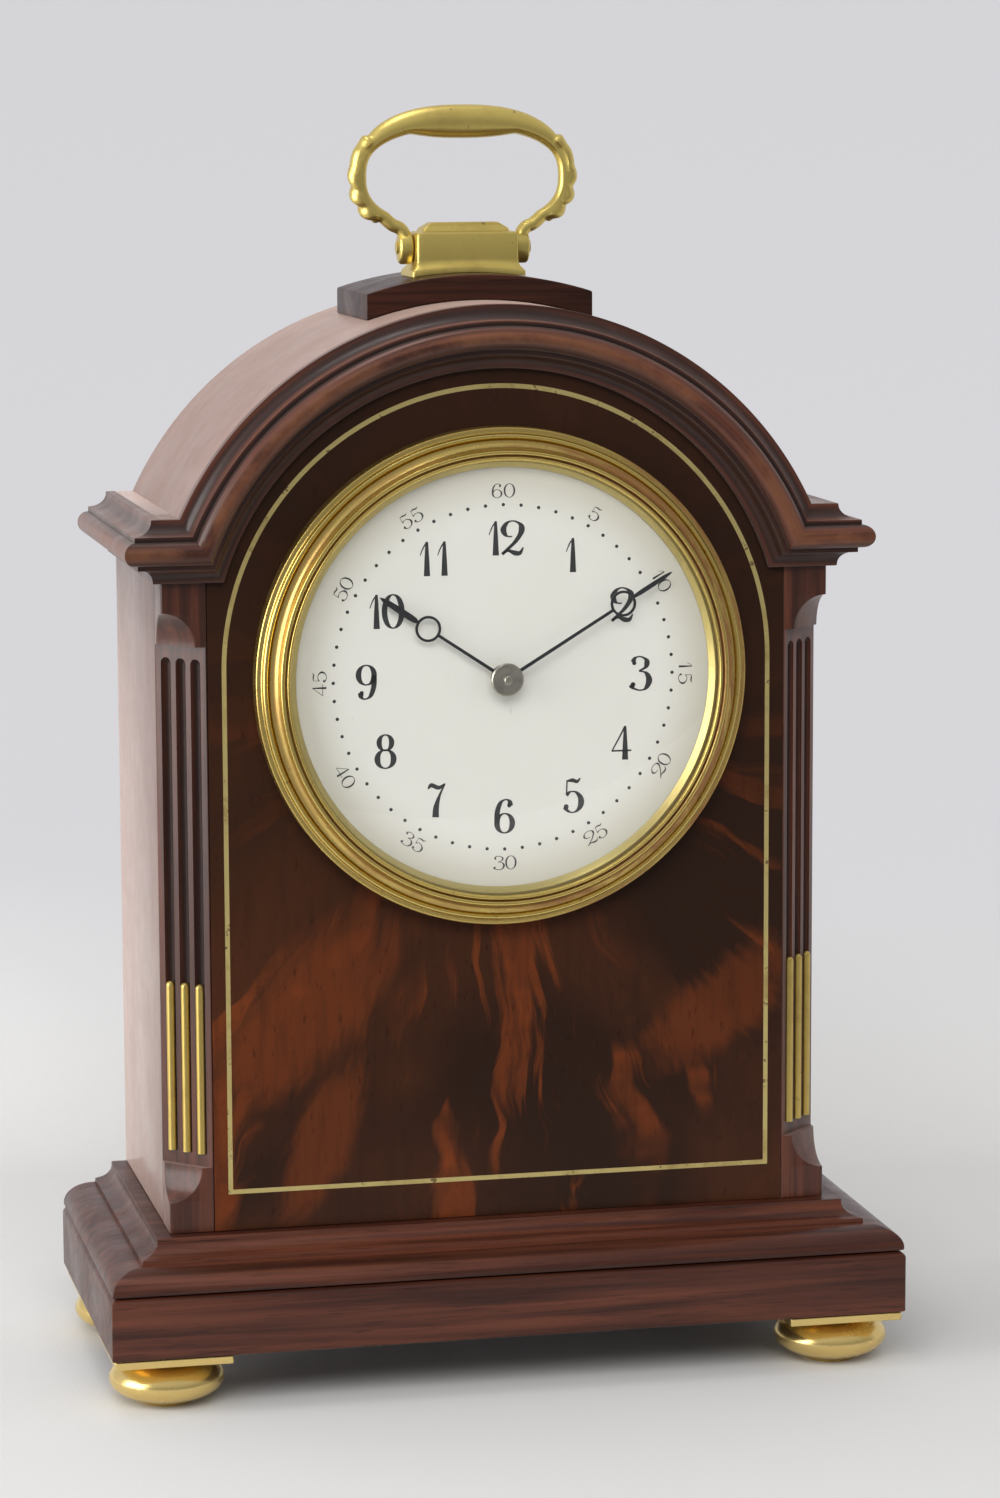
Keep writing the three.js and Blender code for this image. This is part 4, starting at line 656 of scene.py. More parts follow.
for corner in ("front_left", "front_right", "rear_left", "rear_right"):
    low, high = span("foot_" + corner)
    x, y = (low.x + high.x) / 2, (low.y + high.y) / 2
    bun = high.z - feet["plate"]
    radius = feet["radius"]
    profile = [(0.01, 0), (feet["sole"] * radius, 0)] + arc(0, bun / 2, radius, bun / 2, -60, 66, 18)
    profile += [(feet["neck"] * radius, bun - 0.1), (0.4 * radius, bun + 0.3)]
    bunFoot = loft("bun", [levelRing(x, y, z, r, feet["facets"]) for r, z in profile], 40)
    plate = block("plate", low.x, high.x, low.y, high.y, bun, high.z, 0.3)
    foot = join("brassFoot_" + corner, [bunFoot, plate])
    settle(foot, "clock_body", paints["foot"], "cast_brass", "foot_" + corner)
print("plinth and feet made")


# front panel and brass line
def archedLoop(halfWidth, bottom, radius, centre, steps=120):
    rise = math.sqrt(max(radius * radius - halfWidth * halfWidth, 0.0))
    reach = math.degrees(math.atan2(rise, halfWidth))
    foot = [(-halfWidth, bottom), (halfWidth, bottom)]
    return foot + arc(0, centre, radius, radius, reach, 180 - reach, steps)


def circle(radius, steps=128):
    return [(radius * math.cos(t), dialZ + radius * math.sin(t)) for t in fullTurn(steps)]


def stringLoop(offset):
    x = caseHalf - face["stringInset"] + offset
    foot = caseBottom + face["stringFoot"] - offset
    return [(-x, foot), (x, foot)] + arc(0, archCentre - face["stringDrop"], x, x, 0, 180, 120)


panelHigh = span("front_panel")[1]
panelLoop = archedLoop(panelHigh.x, caseBottom, archRadius - face["roofBoard"] - face["fit"], archCentre)
halfLine = face["stringWidth"] / 2
bed = halfLine + face["stringSlack"]
field = slab("field", [stringLoop(-bed), circle(face["seatHole"])], 0.0, panelHigh.y)
border = slab("border", [panelLoop, stringLoop(bed)], 0.0, panelHigh.y)
flamePanel = join("flamePanel", [field, border])
settle(flamePanel, "clock_body", paints["flame"], "flame_veneer", "front_panel")
brassLine = slab("brassLine", [stringLoop(halfLine), stringLoop(-halfLine)], -face["stringProud"],
                 face["stringDeep"])
settle(brassLine, "clock_body", paints["line"], "turned_brass", "brass_line")


# canted corners
cant = {
    "tongueLeg": 8.0, "tongueRise": 8.2, "foot": 15.5, "head": 30.3, "arris": 0.3,
    "flutes": 3, "pitch": 4.3, "fluteRadius": 1.45, "margin": 3.0,
}


def cornerPiece(side):
    leg = face["cantLeg"]
    foot = caseBottom + cant["foot"]
    head = caseTop - cant["head"]
    size = leg + 0.2

    def section(cutBack, z):
        soft = min(0.25, cutBack * 0.4)
        outline = [(caseHalf, cutBack), (caseHalf, size), (caseHalf - size, size), (caseHalf - size, 0),
                   (caseHalf - cutBack, 0)]
        return [(side * x, y, z) for x, y in eased(outline, soft, 2)]

    rise = []
    for t in np.radians(np.linspace(0, 90, 15)):
        rise.append((max(cant["arris"], cant["tongueLeg"] * math.sin(t)), cant["tongueRise"] * math.cos(t)))
    rings = [section(cant["arris"], caseBottom)]
    rings += [section(back, foot - away) for back, away in rise]
    rings += [section(leg, foot), section(leg, head)]
    rings += [section(back, head + away) for back, away in reversed(rise)]
    rings += [section(cant["arris"], caseTop)]
    body = loft("corner", rings, 30)
    cutters = []
    for i in range(cant["flutes"]):
        along = (i - (cant["flutes"] - 1) / 2) * cant["pitch"] / math.sqrt(2)
        x = side * (caseHalf - leg / 2 - along)
        y = leg / 2 - along
        cutters.append(post("flute", x, y, cant["fluteRadius"], foot + cant["margin"], head - cant["margin"],
                            28, cant["fluteRadius"]))
    cutter = join("flutes", cutters)
    carve = body.modifiers.new("carve", "BOOLEAN")
    carve.object = cutter
    carve.operation = "DIFFERENCE"
    carve.solver = "EXACT"
    bpy.context.view_layer.update()
    mesh = bpy.data.meshes.new_from_object(body.evaluated_get(bpy.context.evaluated_depsgraph_get()))
    bpy.data.objects.remove(body)
    bpy.data.objects.remove(cutter)
    mesh.materials.clear()
    return finishMesh("corner", mesh, 30)


for hand, side in (("left", -1), ("right", 1)):
    cornerMade = cornerPiece(side)
    cornerMade.name = "cantedCorner_" + hand
    settle(cornerMade, "clock_body", paints["post"], "mahogany", "corner_post_" + hand)
    low, high = span("side_" + hand)
    sideMade = block("sideBoard_" + hand, low.x, high.x, low.y, high.y, low.z, high.z, 0.25)
    settle(sideMade, "clock_body", paints["side"], "mahogany", "side_" + hand)
print("front and corners made")


# back panel and curved roof
low, high = span("back_panel")
backHole = (span("rear_ring")[1].x - span("rear_ring")[0].x) / 2 - 8.5    # the ring laps 8.5 mm over its edge
backLoop = archedLoop(high.x, low.z, archRadius - face["roofBoard"] - face["fit"], archCentre)
backBoard = slab("backBoard", [backLoop, circle(backHole)], low.y, high.y, 0.0)
settle(backBoard, "clock_body", paints["back"], "mahogany", "back_panel")


def runAlong(piece, distances, across):
    # keep, for each point, how far it is along the piece's grain, in metres
    store = piece.data.attributes.new("run", "FLOAT_VECTOR", "POINT")
    for item, along, (u, v) in zip(store.data, distances, across):
        item.vector = (along * unit, u * unit, v * unit)


def curvedRoof():
    low, high = span("roof_arch")
    inner = archRadius - face["roofBoard"]
    foot = caseTop - archCentre
    outerReach = math.degrees(math.asin(foot / archRadius))
    innerReach = math.degrees(math.asin(foot / inner))
    depths = [low.y, low.y + 0.35, high.y - 0.35, high.y]
    verts = []
    faces = []
    along = []
    across = []
    curves = ((archRadius, outerReach, (0.3, 0, 0, 0.3)), (inner, innerReach, (0, 0, 0, 0)))
    steps = 96
    for k in range(steps + 1):
        s = k / steps
        for radius, reach, order in curves:
            turn = math.radians(reach + (180 - 2 * reach) * s)
            for y, cut in zip(depths, order):
                r = radius - cut
                verts.append((r * math.cos(turn), y, archCentre + r * math.sin(turn)))
                along.append(turn * archRadius)
                across.append((y, radius))
    for k in range(steps):
        a = k * 8
        b = a + 8
        for i in range(3):
            faces.append((a + i, a + i + 1, b + i + 1, b + i))
            faces.append((a + 4 + i, a + 5 + i, b + 5 + i, b + 4 + i))
        faces.append((a, a + 4, b + 4, b))
        faces.append((a + 3, a + 7, b + 7, b + 3))
    for a in (0, steps * 8):
        faces.append((a, a + 1, a + 2, a + 3, a + 7, a + 6, a + 5, a + 4))
    piece = facesOut("curvedRoof", verts, faces, 30)
    runAlong(piece, along, across)
    return piece


settle(curvedRoof(), "clock_body", paints["arch"], "mahogany", "roof_arch")

# cornice
cornice = {
    "height": 15.0, "topOut": 2.2, "coveOut": 4.1, "coveDrop": 3.3, "noseRadius": 2.75, "noseOut": 9.4,
    "fillet": 1.2, "lowCove": 3.4, "lowDrop": 3.0, "foot": 2.0,
}


def corniceProfile():
    c = cornice
    coveEnd = c["topOut"] + c["coveOut"]
    coveBottom = 0.3 + c["coveDrop"]
    middle = coveBottom + c["fillet"] + c["noseRadius"]
    lowTop = middle + c["noseRadius"] + c["fillet"]
    lowOut = c["foot"] + c["lowCove"]
    profile = [(0, 0), (c["topOut"] - 0.2, 0), (c["topOut"], 0.15)]
    profile += arc(coveEnd, 0.3, c["coveOut"], c["coveDrop"], 180, 92, 9)
    profile += [(coveEnd + 0.35, coveBottom + 0.05), (coveEnd + 0.4, coveBottom + 0.2),
                (coveEnd + 0.4, middle - 2.7)]
    profile += arc(c["noseOut"] - c["noseRadius"], middle, c["noseRadius"], c["noseRadius"], -75, 75, 14)
    profile += [(lowOut + 0.6, lowTop - c["fillet"] + 0.1), (lowOut + 0.6, lowTop - 0.15),
                (lowOut + 0.45, lowTop)]
    profile += arc(lowOut, lowTop + c["lowDrop"], c["lowCove"], c["lowDrop"], -92, -178, 9)
    profile += [(c["foot"] - 0.05, c["height"] - 0.2), (c["foot"] - 0.2, c["height"]), (0, c["height"])]
    return profile


def sweep(name, profile, stations, along):
    # stations hold one ring each, and along how far the grain has run there
    piece = loft(name, stations, 32)
    distances = []
    across = []
    for far in along:
        for out, drop in profile:
            distances.append(far)
            across.append((out, drop))
    runAlong(piece, distances, across)
    return piece


def archedCornice():
    profile = corniceProfile()
    stations = [[(caseHalf + out, -out, caseTop - drop) for out, drop in profile]]
    along = [0.0]
    starts = []
    for out, drop in profile:
        r = archRadius - drop
        z = caseTop - drop - archCentre
        starts.append((r, math.atan2(z, math.sqrt(r * r - z * z))))
    steps = 96
    for i in range(steps + 1):
        ring = []
        for (out, drop), (r, start) in zip(profile, starts):
            t = start + (pi - 2 * start) * i / steps
            ring.append((r * math.cos(t), -out, archCentre + r * math.sin(t)))
        stations.append(ring)
        along.append(15 + archRadius * (pi - 0.85) * i / steps)
    stations.append([(-caseHalf - out, -out, caseTop - drop) for out, drop in profile])
    along.append(along[-1] + 15)
    return sweep("archedCornice", profile, stations, along)


settle(archedCornice(), "clock_body", paints["cornice"], "mahogany", "cornice_front")
for hand, side in (("left", -1), ("right", 1)):
    profile = corniceProfile()
    ends = [[(side * (caseHalf + 0.05 + out), 0.05 - out, caseTop - drop) for out, drop in profile],
            [(side * (caseHalf + 0.05 + out), caseDepth, caseTop - drop) for out, drop in profile]]
    returned = sweep("returnCornice_" + hand, profile, ends, [0, caseDepth])
    settle(returned, "clock_body", paints["cornice"], "mahogany", "cornice_" + hand)
print("roof and cornice made")

# pad, pedestal and handle
pad = {"width": 55.2, "depth": 38.6, "thickness": 6.0, "lift": 0.1}
pedestal = {
    "width": 25.0, "depth": 12.0, "height": 9.6, "flare": 1.5, "flange": 1.6,
    "capWidth": 21.6, "capDepth": 8.0, "capHeight": 2.2,
}
handle = {
    "pivot": 5.8, "width": 50.4, "drop": 12.9, "rise": 30.0, "square": 2.5, "grip": 4.0, "leaf": 1.4,
    "knuckle": 3.9, "knuckleWide": 3.4, "gap": 0.2,
}
padTop = archRadius + pad["lift"] + pad["thickness"]
handleY = caseDepth / 2
pivotZ = archCentre + padTop + handle["pivot"]


def archedBand(halfWidth, low, high, steps=24):
    def reach(r):
        return math.degrees(math.acos(halfWidth / r))
    upper = arc(0, archCentre, high, high, reach(high), 180 - reach(high), steps)
    lower = arc(0, archCentre, low, low, 180 - reach(low), reach(low), steps)
    return upper + lower


padBand = eased(archedBand(pad["width"] / 2, archRadius + pad["lift"], padTop), 0.5, 3)
topPad = slab("topPad", [padBand], handleY - pad["depth"] / 2, handleY + pad["depth"] / 2, 0.3, 25)
settle(topPad, "clock_body", paints["roof"], "mahogany", "top_pad")


def castPedestal():
    # rings of rounded rectangles follow the block from its flared foot up into the bevelled cap
    p = pedestal
    base = padTop + 0.1
    halfWide = p["width"] / 2
    halfDeep = p["depth"] / 2
    top = base + p["height"]
    levels = [(p["flare"], p["flare"], 0.0, 1), (p["flare"], p["flare"], p["flange"] - 0.5, 1),
              (p["flare"] - 0.3, p["flare"] - 0.3, p["flange"], 1), (0.5, 0.5, p["flange"] + 0.3, 0.7),
              (0.1, 0.1, p["flange"] + 0.9, 0.4), (0, 0, p["flange"] + 1.6, 0)]
    rings = []

    def ring(moreWide, moreDeep, lift, follow, soft=0.8):
        w = halfWide + moreWide
        d = halfDeep + moreDeep
        edge = []
        side = 14
        for k in range(side):
            edge.append((-w + 2 * w * k / side, handleY - d))
        edge.append((w, handleY - d))
        edge.append((w, handleY + d))
        for k in range(1, side):
            edge.append((w - 2 * w * k / side, handleY + d))
        edge.append((-w, handleY + d))
        made = []
        for x, y in eased(edge, soft, 3):
            level = follow * (math.sqrt(base * base - x * x) - base) + base + lift
            made.append((x, y, archCentre + level))
        return made

    for wide, deep, lift, follow in levels:
        rings.append(ring(wide, deep, lift, follow))
    height = p["height"]
    rings.append(ring(0, 0, height - 0.7, 0))
    rings.append(ring(-0.25, -0.25, height - 0.2, 0, 1.0))
    rings.append(ring(-0.8, -0.8, height, 0, 1.0))
    rings.append(ring(-1.5, -1.6, height, 0, 1.0))
    capWide = p["capWidth"] / 2 - halfWide
    capDeep = p["capDepth"] / 2 - halfDeep
    rings.append(ring(capWide, capDeep, height + 0.15, 0, 0.8))
    rings.append(ring(capWide - 0.3, capDeep - 0.3, height + 0.8, 0, 0.8))
    rings.append(ring(capWide - 2.0, capDeep - 1.3, height + p["capHeight"] - 0.3, 0, 0.8))
    rings.append(ring(capWide - 2.5, capDeep - 1.7, height + p["capHeight"], 0, 0.8))
    return loft("castPedestal", rings, 38)


settle(castPedestal(), "clock_body", paints["cast"], "cast_brass", "handle_pedestal")


def castBail():
    # half of the bail is drawn from the grip's middle down to its tab, then mirrored
    h = handle
    half = h["width"] / 2
    middle = pivotZ + h["rise"] - h["drop"]
    knuckleX = pedestal["width"] / 2 + h["gap"] + h["knuckleWide"] / 2
    power = 2 / h["square"]
    facets = 32
    turns = np.radians(np.linspace(90, -42, 96))
    path = []
    for t in turns:
        c, z = max(math.cos(t), 0.0), math.sin(t)
        path.append(Vector((half * c ** power, middle + math.copysign(h["drop"] * abs(z) ** power, z))))
    neck = [tuple(path[-9]), tuple(path[-1]), (knuckleX + 3.1, pivotZ + 5.7), (knuckleX + 1.2, pivotZ + 4.8),
            (knuckleX + 0.1, pivotZ + 3.2), (knuckleX, pivotZ + 1.0), (knuckleX, pivotZ - 1.0)]
    tailLine = smoothLine(neck, 8)[8:]
    path += tailLine[1:]
    sizes = []
    for i in range(len(path)):
        if i >= len(turns):
            s = (i - len(turns) + 1) / (len(path) - len(turns))
            sizes.append((1.65, 1.55, 1.9 + 0.7 * s, 0.0, 0.0))
            continue
        t = math.degrees(turns[i])
        body = max(0.0, 1 - ((90 - t) / 66) ** 2)
        lens = max(0.0, 1 - ((90 - t) / 27) ** 2) ** 1.1
        inward = 1.45 + (h["grip"] - 2.0) * lens + 0.3 * body
        outward = 1.6 + (h["grip"] - 1.3) * body
        wide = 1.9 + 1.6 * body
        leaf = min(1.0, max(0.0, (34 - t) / 3)) * min(1.0, max(0.0, (t + 43) / 5))
        sizes.append((outward, inward, wide, leaf, t))
    rings = []
    for i, here in enumerate(path):
        way = (path[min(i + 1, len(path) - 1)] - path[max(i - 1, 0)]).normalized()
        out = Vector((-way.y, way.x))
        outward, inward, wide, leaf, t = sizes[i]
        ring = []
        for w in fullTurn(facets):
            c = math.cos(w)
            depth = wide * math.sin(w)
            if c > 0:
                reach = outward * c
                if leaf:
                    facet = min(1.0, max(0.0, t / 8))
                    twist = 0.5 + 0.5 * math.cos(2 * pi * ((2 - t) / 15.5 + 0.25 * math.sin(w)))
                    rope = 0.45 + 0.75 * twist ** 0.6
                    swell = facet * (1.0 - 0.3 * abs((t - 18) / 18)) + (1 - facet) * rope
                    reach += leaf * h["leaf"] * swell * c ** 0.45
                    depth *= 1 + 0.45 * leaf * swell * (1 - 0.4 * (1 - facet))
            else:
                reach = inward * c
            spot = here + out * reach
            ring.append((spot.x, handleY + depth, spot.y))
        rings.append(ring)
    mirrored = [[(-x, y, z) for x, y, z in ring] for ring in reversed(rings[1:])]
    bar = loft("bar", mirrored + rings, 42)
    pieces = [bar]
    for side in (-1, 1):
        wide = h["knuckleWide"] / 2
        discs = []
        for x, cut in ((-wide, 0.5), (-wide + 0.4, 0), (wide - 0.7, 0), (wide - 0.25, 0.3), (wide, 0.9)):
            ring = []
            for turn in fullTurn(48):
                r = h["knuckle"] - cut
                y = handleY + 0.86 * r * math.cos(turn)
                ring.append((side * (knuckleX + x), y, pivotZ + r * math.sin(turn)))
            discs.append(ring)
        pieces.append(loft("knuckle", discs, 30))
    return join("castBail", pieces, 42)


settle(castBail(), "bail", paints["cast"], "cast_brass", "handle_bail")
print("handle made")


# Geometry Nodes
def nodeTree(name, inputs):
    tree = bpy.data.node_groups.new(name, "GeometryNodeTree")
    tree.interface.new_socket("Geometry", in_out="INPUT", socket_type="NodeSocketGeometry")
    tree.interface.new_socket("Geometry", in_out="OUTPUT", socket_type="NodeSocketGeometry")
    for label, kind in inputs.items():
        tree.interface.new_socket(label, in_out="INPUT", socket_type="NodeSocket" + kind)
    start = tree.nodes.new("NodeGroupInput")
    return tree, start


def treeNode(tree, kind, settings=None, values=None):
    # values go in by socket name or number, and a socket given as a value is linked
    node = tree.nodes.new(kind)
    for key, value in (settings or {}).items():
        setattr(node, key, value)
    for key, value in (values or {}).items():
        slot = node.inputs[key]
        if isinstance(value, bpy.types.NodeSocket):
            tree.links.new(value, slot)
        else:
            slot.default_value = value
    return node


def treeMath(tree, operation, *values):
    node = treeNode(tree, "ShaderNodeMath", {"operation": operation}, dict(enumerate(values)))
    return node.outputs[0]


def closeTree(tree, geometry, material):
    real = treeNode(tree, "GeometryNodeRealizeInstances", None, {"Geometry": geometry})
    dressed = treeNode(tree, "GeometryNodeSetMaterial", None,
                       {"Geometry": real.outputs[0], "Material": material})
    end = tree.nodes.new("NodeGroupOutput")
    tree.links.new(dressed.outputs[0], end.inputs[0])


def grow(name, base, tree, values, sharp=35):
    # run the tree on the base piece with these values and keep the plain mesh that it gives
    modifier = base.modifiers.new(name, "NODES")
    modifier.node_group = tree
    ids = {item.name: item.identifier for item in tree.interface.items_tree if item.in_out == "INPUT"}
    for label, value in values.items():
        modifier[ids[label]] = value
    bpy.context.view_layer.update()
    mesh = bpy.data.meshes.new_from_object(base.evaluated_get(bpy.context.evaluated_depsgraph_get()))
    bpy.data.objects.remove(base)
    return finishMesh(name, mesh, sharp)


def seed(name):
    return makeObject(name, [(0, 0, 0)], [])


# brass rods standing in the flutes
rods = {"radius": 1.1, "length": 41.0, "lift": 0.1, "sides": 20}


def rodTree():
    # one rod with a round top stands at each step of a line
    tree, start = nodeTree("rodsInFlutes", {
        "Radius": "Float", "Length": "Float", "Sides": "Int", "First": "Vector", "Step": "Vector",
        "Count": "Int"})
    value = start.outputs
    trunkLength = treeMath(tree, "SUBTRACT", value["Length"], value["Radius"])
    trunk = treeNode(tree, "GeometryNodeMeshCylinder", None, {
        "Vertices": value["Sides"], "Radius": value["Radius"], "Depth": trunkLength})
    lift = treeNode(tree, "ShaderNodeCombineXYZ", None, {"Z": treeMath(tree, "MULTIPLY", trunkLength, 0.5)})
    stood = treeNode(tree, "GeometryNodeTransform", None, {
        "Geometry": trunk.outputs[0], "Translation": lift.outputs[0]})
    ball = treeNode(tree, "GeometryNodeMeshUVSphere", None, {
        "Segments": value["Sides"], "Rings": 12, "Radius": value["Radius"]})
    topAt = treeNode(tree, "ShaderNodeCombineXYZ", None, {"Z": trunkLength})
    topped = treeNode(tree, "GeometryNodeTransform", None, {
        "Geometry": ball.outputs[0], "Translation": topAt.outputs[0]})
    both = tree.nodes.new("GeometryNodeJoinGeometry")
    tree.links.new(stood.outputs[0], both.inputs[0])
    tree.links.new(topped.outputs[0], both.inputs[0])
    line = treeNode(tree, "GeometryNodeMeshLine", {"mode": "OFFSET"}, {
        "Count": value["Count"], "Start Location": value["First"], "Offset": value["Step"]})
    placed = treeNode(tree, "GeometryNodeInstanceOnPoints", None, {
        "Points": line.outputs[0], "Instance": both.outputs[0]})
    closeTree(tree, placed.outputs[0], paints["rod"])
    return tree


rodMaker = rodTree()
for hand, side in (("left", -1), ("right", 1)):
    step = cant["pitch"] / math.sqrt(2) * unit
    stride = Vector((side * step, step, 0))
    middle = Vector((side * (caseHalf - face["cantLeg"] / 2) * unit, face["cantLeg"] / 2 * unit + frontY,
                     (caseBottom + cant["foot"] + cant["margin"] + rods["lift"]) * unit))
    grown = grow("fluteRods_" + hand, seed("rodSeed"), rodMaker, {
        "Radius": rods["radius"] * unit, "Length": rods["length"] * unit, "Sides": rods["sides"],
        "First": middle - stride, "Step": stride, "Count": cant["flutes"]})
    settle(grown, "clock_body", None, "cast_brass", *["flute_rod_%s_%d" % (hand, i) for i in (1, 2, 3)])

# bezel, glass and sight ring
bezel = {
    "outer": 59.3, "rim": 4.9, "depth": 9.2, "ridge": 56.6, "cavetto": 54.1, "crest": 53.6, "groove": 52.8,
    "bead": 52.2, "lip": 51.6, "flange": 56.5, "inner": 52.8, "face": 2.8, "turns": 224,
}


def bendTree():
    # a straight moulding, drawn as (turn, depth, radius), bends round the dial's middle
    tree, start = nodeTree("bendRound", {"Centre": "Float", "Merge": "Float"})
    value = start.outputs
    drawn = tree.nodes.new("GeometryNodeInputPosition")
    spot = treeNode(tree, "ShaderNodeSeparateXYZ", None, {0: drawn.outputs[0]})
    turn, depth, radius = spot.outputs
    across = treeMath(tree, "MULTIPLY", radius, treeMath(tree, "SINE", turn))
    up = treeMath(tree, "MULTIPLY", radius, treeMath(tree, "COSINE", turn))
    at = treeNode(tree, "ShaderNodeCombineXYZ", None, {
        "X": across, "Y": depth, "Z": treeMath(tree, "ADD", up, value["Centre"])})
    bent = treeNode(tree, "GeometryNodeSetPosition", None, {
        "Geometry": value["Geometry"], "Position": at.outputs[0]})
    shut = treeNode(tree, "GeometryNodeMergeByDistance", None, {
        "Geometry": bent.outputs[0], "Distance": value["Merge"]})
    closeTree(tree, shut.outputs[0], paints["bezel"])
    return tree


def bezelRing():
    b = bezel
    rim = b["rim"]
    profile = [(b["flange"], -0.1), (b["outer"] - 0.3, -0.1), (b["outer"], -0.4), (b["outer"], -rim + 0.5)]
    profile += arc(b["outer"] - 0.5, -rim + 0.5, 0.5, 0.5, 0, -90, 4)
    profile += [(b["ridge"] + 1.5, -rim), (b["ridge"] + 1.35, -rim - 0.12)]
    profile += arc(b["ridge"] + 0.55, -rim - 0.6, 0.7, 0.8, -20, -160, 8)
    profile += [(b["ridge"] - 0.25, -rim - 0.7), (b["ridge"] - 0.35, -rim - 1.5)]
    profile += arc(b["cavetto"] + 2.0, -rim - 3.6, 2.0, 2.2, 88, 176, 8)
    profile += arc(b["crest"] - 0.05, -b["depth"] + 0.45, 0.55, 0.5, -10, -150, 7)
    profile += [(b["groove"] + 0.15, -b["depth"] + 0.8), (b["groove"], -b["depth"] + 0.45),
                (b["groove"] - 0.12, -b["depth"] + 0.8)]
    profile += arc(b["bead"], -b["depth"] + 0.42, 0.4, 0.42, -10, -170, 7)
    profile += [(b["lip"] + 0.05, -b["depth"] + 0.45), (b["lip"], -b["depth"] + 0.7),
                (b["inner"], -b["depth"] + 0.72), (b["inner"], -b["face"]), (b["flange"], -b["face"])]
    count = len(profile)
    turns = b["turns"]
    verts = []
    faces = []
    for k in range(turns + 1):
        verts.extend((2 * pi * k / turns, y * unit + frontY, r * unit) for r, y in profile)
    for k in range(turns):
        for i in range(count):
            j = (i + 1) % count
            faces.append((k * count + i, (k + 1) * count + i, (k + 1) * count + j, k * count + j))
    mesh = bpy.data.meshes.new("straightMoulding")
    mesh.from_pydata(verts, [], faces)
    strip = finishMesh("straightMoulding", mesh)
    ring = grow("bezelRing", strip, bendTree(), {"Centre": dialZ * unit, "Merge": 0.00001}, 28)
    return outward(ring, 28)


settle(bezelRing(), "clock_body", None, "turned_brass", "bezel")

glass = {"sag": 7.8, "fullness": 2.6, "thick": 1.1, "back": 7.2, "edge": 52.5, "spring": 51.4}
sight = {"inner": 49.9, "lip": 0.25, "facets": 200}


def domeRise(r):
    return glass["sag"] * max(0.0, 1 - (r / glass["spring"]) ** glass["fullness"])


glassSteps = [0.01] + list(np.linspace(2, glass["spring"], 40)) + [glass["edge"]]
glassProfile = [(r, -glass["back"] - glass["thick"] - domeRise(r)) for r in glassSteps]
glassProfile += [(r, -glass["back"] - domeRise(r)) for r in reversed(glassSteps)]
convexGlass = turned("convexGlass", glassProfile, 160, 50)
settle(convexGlass, "clock_body", paints["glass"], "glass", "bezel_glass")
sightLow, sightHigh = span("sight_ring")
sightOuter = sightHigh.x
sightInner = sight["inner"]
sightRing = turned("sightRing", [
    (sightOuter, sightLow.y), (sightOuter, sightHigh.y), (sightInner, sightHigh.y),
    (sightInner, sightHigh.y - sight["lip"]), (sightInner + 0.2, sightHigh.y - 0.45),
    (sightInner + 0.8, sightHigh.y - 0.9), (sightInner + 1.3, sightLow.y + 0.1)], sight["facets"], 30)
settle(sightRing, "clock_body", paints["gilt"], "turned_brass", "sight_ring")
print("bezel and glass made")

# dial plate, its figures and minute dots
dial = {
    "hourCentre": 33.1, "hourHeight": 8.1, "minuteCentre": 44.3, "minuteHeight": 3.3, "dotCircle": 41.0,
    "dotRadius": 0.42, "dots": 60, "proud": 0.03, "stem": 0.165, "hair": 0.042, "hole": 3.2, "thick": 1.0,
}
dialLow, dialHigh = span("dial")
dialFront = dialLow.y
dialRadius = dialHigh.x
dialBack = dialFront + dial["thick"]
dialPlate = turned("dialPlate", [(dial["hole"], dialBack), (dialRadius, dialBack),
                                 (dialRadius, dialFront + 0.2), (dialRadius - 0.2, dialFront),
                                 (dial["hole"], dialFront)], 160, 30)
settle(dialPlate, "clock_body", paints["dial"], "silvered_dial", "dial")


def oval(cx, cy, rx, ry, start=0, end=360, steps=16):
    spots = arc(cx, cy, rx, ry, start, end, steps)
    if end - start == 360:
        spots[-1] = spots[0]
    return spots


